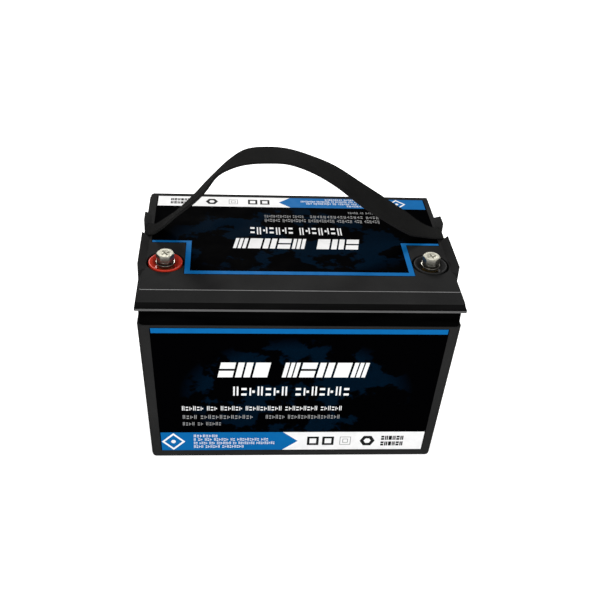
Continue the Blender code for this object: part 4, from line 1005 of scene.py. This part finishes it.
def make_bolt(centre, sign, turn, corner_angle):
    """A hexagon bolt: corner_angle is where a corner points, and turn is the cross recess's turn."""
    turned = plated_metal(f"nickel_turned_{sign}", *NICKEL_TURNED, 0.66, (*centre, 0.0))
    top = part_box(f"terminal_bolt_{sign}")[1].z / MM
    low = top - HEAD_HEIGHT
    face, pitch, crest, root = (size * MM for size in (HEAD_FACE, THREAD_PITCH, SHANK, THREAD_ROOT))
    thread_high = low - 1.6

    def shaped(radius, height, angle):
        """A hexagon beyond the face circle, and a thread on the shank."""
        if height > (low - 0.2) * MM and radius > face:
            sector = (angle - corner_angle) % (math.pi / 3) - math.pi / 6
            across = min(HEAD_APOTHEM * MM / math.cos(sector), HEAD_CORNER * MM)
            if height > (low + 3.0) * MM:
                height = height - (across - face) * CHAMFER_SLOPE
            return across + radius - HEAD_REACH * MM, height
        if THREAD_LOW * MM < height < thread_high * MM:
            phase = (height / pitch + angle / math.tau) % 1.0
            return crest - (crest - root) * (1 - abs(2 * phase - 1)), height
        return radius, height

    head = profile((
        (0.0, top - 0.5, 0.0), (2.6, top - 0.5, 0.5), (4.3, top, 0.5), (6.28, top, 0.0),
        (7.36, top + 0.02, 0.0), (7.46, top - 0.06, 0.0), (HEAD_REACH, top - 0.16, 0.0),
        (HEAD_REACH, low + 0.14, 0.0), (7.36, low, 0.0), (6.4, low, 0.0), (6.2, low, 0.0),
        (SHANK, low, 0.3), (SHANK, thread_high + 0.1, 0.0),
    ))
    threaded = thread_high - THREAD_LOW
    rows = int(threaded * MM / pitch * 8)
    thread = [(crest, (thread_high - threaded * (row + 0.5) / rows) * MM) for row in range(rows)]
    tip = profile(((3.9, THREAD_LOW, 0.0), (3.2, 154.2, 0.1), (0.0, 154.2, 0.0)))
    shape = lathe(centre, head + thread + tip, 72, radius_at=shaped)
    nodes = [f"terminal_bolt_{sign}"]
    bolt = piece(f"hexagon_bolt_{sign}", shape, turned, None, nodes, sharp=BOLT_SHARP)
    bars = []
    for i in range(2):
        bm = skin([
            [(x, y, top + depth) for x, y in rectangle(-length / 2, -width / 2, length / 2, width / 2)]
            for depth, length, width in RECESS_ROWS
        ])
        place = Matrix.Translation((*centre, 0.0)) @ Matrix.Rotation(turn + i * math.pi / 2, 4, "Z")
        bm.transform(place @ Matrix.Diagonal((MM, MM, MM, 1.0)))
        bars.append(bm)
    carve(bolt, cuts=bars)
    smooth(bolt, BOLT_SHARP)
    shank = Vector((*centre, 0.0))
    # painted shade: the head's sides are painted a darker nickel than its top
    paint(bolt, NICKEL_SIDE_SHADE, lambda c, n: (
        c.z < (top - 0.5) * MM and abs(n.z) < 0.5 and (c - shank).xy.length > 6.0 * MM
    ))
    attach(bolt, f"{sign}_bolt")


def make_terminals():
    for sign, side, finish, slot, turn, corner_angle in (
        ("positive", -1, RED_RING, "red_plastic", 30, 0),
        ("negative", 1, BLACK_RING, "terminal_black", 15, 45),
    ):
        centre = (side * TERMINAL_X, TERMINAL_Y)
        make_ring(centre, sign, finish)
        make_insert(centre, sign)
        make_washers(centre, sign)
        make_bolt(centre, sign, math.radians(turn), math.radians(corner_angle))


# ------ strap


def even_route(spacing):
    """Points of (x, lift, z) at even steps along the webbing's middle line."""
    dense = catmull_rom([(x * MM, lift * MM, z * MM) for x, z, lift in STRAP_ROUTE], 30)
    lengths = [0.0]
    for a, b in zip(dense, dense[1:]):
        lengths.append(lengths[-1] + math.hypot(b.x - a.x, b.z - a.z))
    count = round(lengths[-1] / spacing)
    made, i = [], 0
    for step in range(count + 1):
        target = lengths[-1] * step / count
        while i < len(dense) - 2 and lengths[i + 1] < target:
            i += 1
        t = (target - lengths[i]) / (lengths[i + 1] - lengths[i])
        made.append(dense[i].lerp(dense[i + 1], t))
    return made, lengths[-1] / count


def webbing_section():
    """(share of the half width, share of the half thickness, rib share) round the webbing."""
    half = (-1.0, -0.992, -0.97, -0.93, -0.89, -0.85, -0.8, -0.6, -0.4, -0.2, 0.0)
    line = [*half, *(-share for share in reversed(half[:-1]))]
    upper = []
    for share in line:
        edge = max(0.0, (abs(share) - 0.93) / 0.07)
        thick = math.sqrt(max(0.0, 1.0 - edge**2))
        selvedge = 0.10 if 0.85 < abs(share) < 0.97 else 0.0
        groove = -0.14 if abs(share) == 0.85 else 0.0
        upper.append((share, thick + selvedge + groove, 1.0 if abs(share) < 0.84 else 0.35))
    lower = [(share, -thick, rib) for share, thick, rib in reversed(upper[1:-1])]
    return upper + lower


def make_strap():
    rib_height = 0.11 * MM
    route, spacing = even_route(0.85 * MM)
    section = webbing_section()
    rings, sheet = [], []
    for i, point in enumerate(route):
        before, after = route[max(i - 2, 0)], route[min(i + 2, len(route) - 1)]
        along = Vector((after.x - before.x, 0.0, after.z - before.z)).normalized()
        low, high = STRAP_WIDENING_Z
        share = min(max((point.z - low) / (high - low), 0.0), 1.0)
        share = share * share * (3 - 2 * share)
        width = STRAP_END_WIDTH + (STRAP_WIDTH - STRAP_END_WIDTH) * share
        lean = math.asin(point.y / STRAP_WIDTH)
        across = Vector((0.0, math.cos(lean), math.sin(lean)))
        out = along.cross(across).normalized()
        middle = Vector((point.x, STRAP_Y, point.z))
        rib = rib_height * (i % 2)
        ring = []
        for side, thick, ribbed in section:
            depth = thick * STRAP_THICK / 2 - math.copysign(rib * ribbed, thick) * bool(thick)
            ring.append(middle + across * (side * width / 2) + out * depth)
            sheet.append((side * width / 2 / MM, i * spacing / MM))
        rings.append(ring)
    bm = skin(rings)
    layer = bm.loops.layers.uv.new("weave")
    bm.verts.ensure_lookup_table()
    bm.verts.index_update()
    for face in bm.faces:
        for loop in face.loops:
            loop[layer].uv = sheet[loop.vert.index]
    nodes = ["strap_grip", "strap_leg_left", "strap_leg_right"]
    strap = piece("webbing_strap", bm, WEBBING, None, nodes, sharp=80.0)
    carve(strap, cuts=[pin_bore(side * STRAP_END_X, 6 * MM) for side in (-1, 1)])
    smooth(strap, 80.0)
    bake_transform(strap)


def make_pins():
    corners = (
        (0.0, -4.5, 0.0), (1.6, -4.5, 0.2), (2.0, -4.0, 0.3), (2.0, 1.3, 0.1), (3.6, 1.3, 0.2),
        (3.6, 1.95, 0.35), (2.2, 2.2, 0.6), (0.0, 2.2, 0.0),
    )
    for side, end in ((-1, "left"), (1, "right")):
        bm = lathe((0.0, 0.0), profile(corners), 64)
        turn = Matrix.Rotation(side * math.pi / 2, 4, "Y")
        bm.transform(Matrix.Translation((side * STRAP_END_X, STRAP_Y, STRAP_AXIS_Z)) @ turn)
        name = f"strap_pin_{end}"
        piece(f"rivet_{end}", bm, INNER_FINISHES["nickel"], "case", [name])


# ------ inner pieces


def finish_inner_pieces():
    """Gives the CAD nodes that stay their finishes, and breaks their edges."""
    for name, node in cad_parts.items():
        if node.hide_render:
            continue
        for slot in node.material_slots:
            slot.material = INNER_FINISHES[slot.material.name.split(".")[0]]
        break_edges(node, 0.25 * MM, 50)


# ------ camera, stage and light


def look_at(obj, target, roll=0.0):
    turn = (Vector(target) - obj.location).to_track_quat("-Z", "Y").to_matrix()
    obj.rotation_euler = (turn @ Matrix.Rotation(roll, 3, "Z")).to_euler()


def make_camera():
    data = bpy.data.cameras.new("camera")
    data.sensor_width = 36.0
    data.lens = CAMERA_LENS
    camera = bpy.data.objects.new("camera", data)
    camera.location = CAMERA_PLACE
    look_at(camera, CAMERA_AIM, CAMERA_ROLL)
    bpy.context.scene.collection.objects.link(camera)
    bpy.context.scene.camera = camera


def softbox(name, location, target, size, radiance, colour=(1.0, 1.0, 1.0)):
    """A rectangular area light given by its brightness, so that its size can change by itself."""
    data = bpy.data.lights.new(name, "AREA")
    data.shape = "RECTANGLE"
    data.size, data.size_y = size
    data.energy = radiance * math.pi * size[0] * size[1]
    data.color = colour
    obj = bpy.data.objects.new(name, data)
    obj.location = location
    look_at(obj, target)
    bpy.context.scene.collection.objects.link(obj)


def make_world():
    """Pale to the camera, and a dimmer grey as a light."""
    world = bpy.data.worlds.new("studio")
    bpy.context.scene.world = world
    world.use_nodes = True
    tree = world.node_tree
    background = tree.nodes["Background"]
    seen = tree.nodes.new("ShaderNodeLightPath")
    strength = tree.nodes.new("ShaderNodeMapRange")
    strength.inputs["To Min"].default_value = 0.25
    strength.inputs["To Max"].default_value = 0.95
    tree.links.new(seen.outputs["Is Camera Ray"], strength.inputs["Value"])
    tree.links.new(strength.outputs["Result"], background.inputs["Strength"])
    background.inputs["Color"].default_value = (1.0, 1.0, 1.0, 1.0)


def make_studio():
    bm = bmesh.new()
    bmesh.ops.create_grid(bm, x_segments=4, y_segments=4, size=12.0)
    floor = helper("floor", bm)
    floor.location.z = -0.2 * MM
    floor.data.materials.append(stand_floor("pale_floor", (0.88,) * 3, 0.7))
    make_world()
    middle = (0.0, 0.0, 0.12)
    softbox("overhead", (0.0, -0.2, 2.6), middle, (2.8, 2.2), 1.2)
    softbox("rear", (0.0, 2.0, 1.4), middle, (0.42, 0.36), 90.0, (1.0, 0.99, 0.97))
    for side, name in ((-1, "front_left"), (1, "front_right")):
        softbox(name, (side * 1.2, -2.4, 0.95), middle, (0.8, 0.8), 15.0)
    view = bpy.context.scene.view_settings
    view.view_transform = "Standard"
    view.look = "None"


make_case()
make_lid()
make_front_label()
make_top_label()
make_terminals()
make_strap()
make_pins()
finish_inner_pieces()
make_camera()
make_studio()
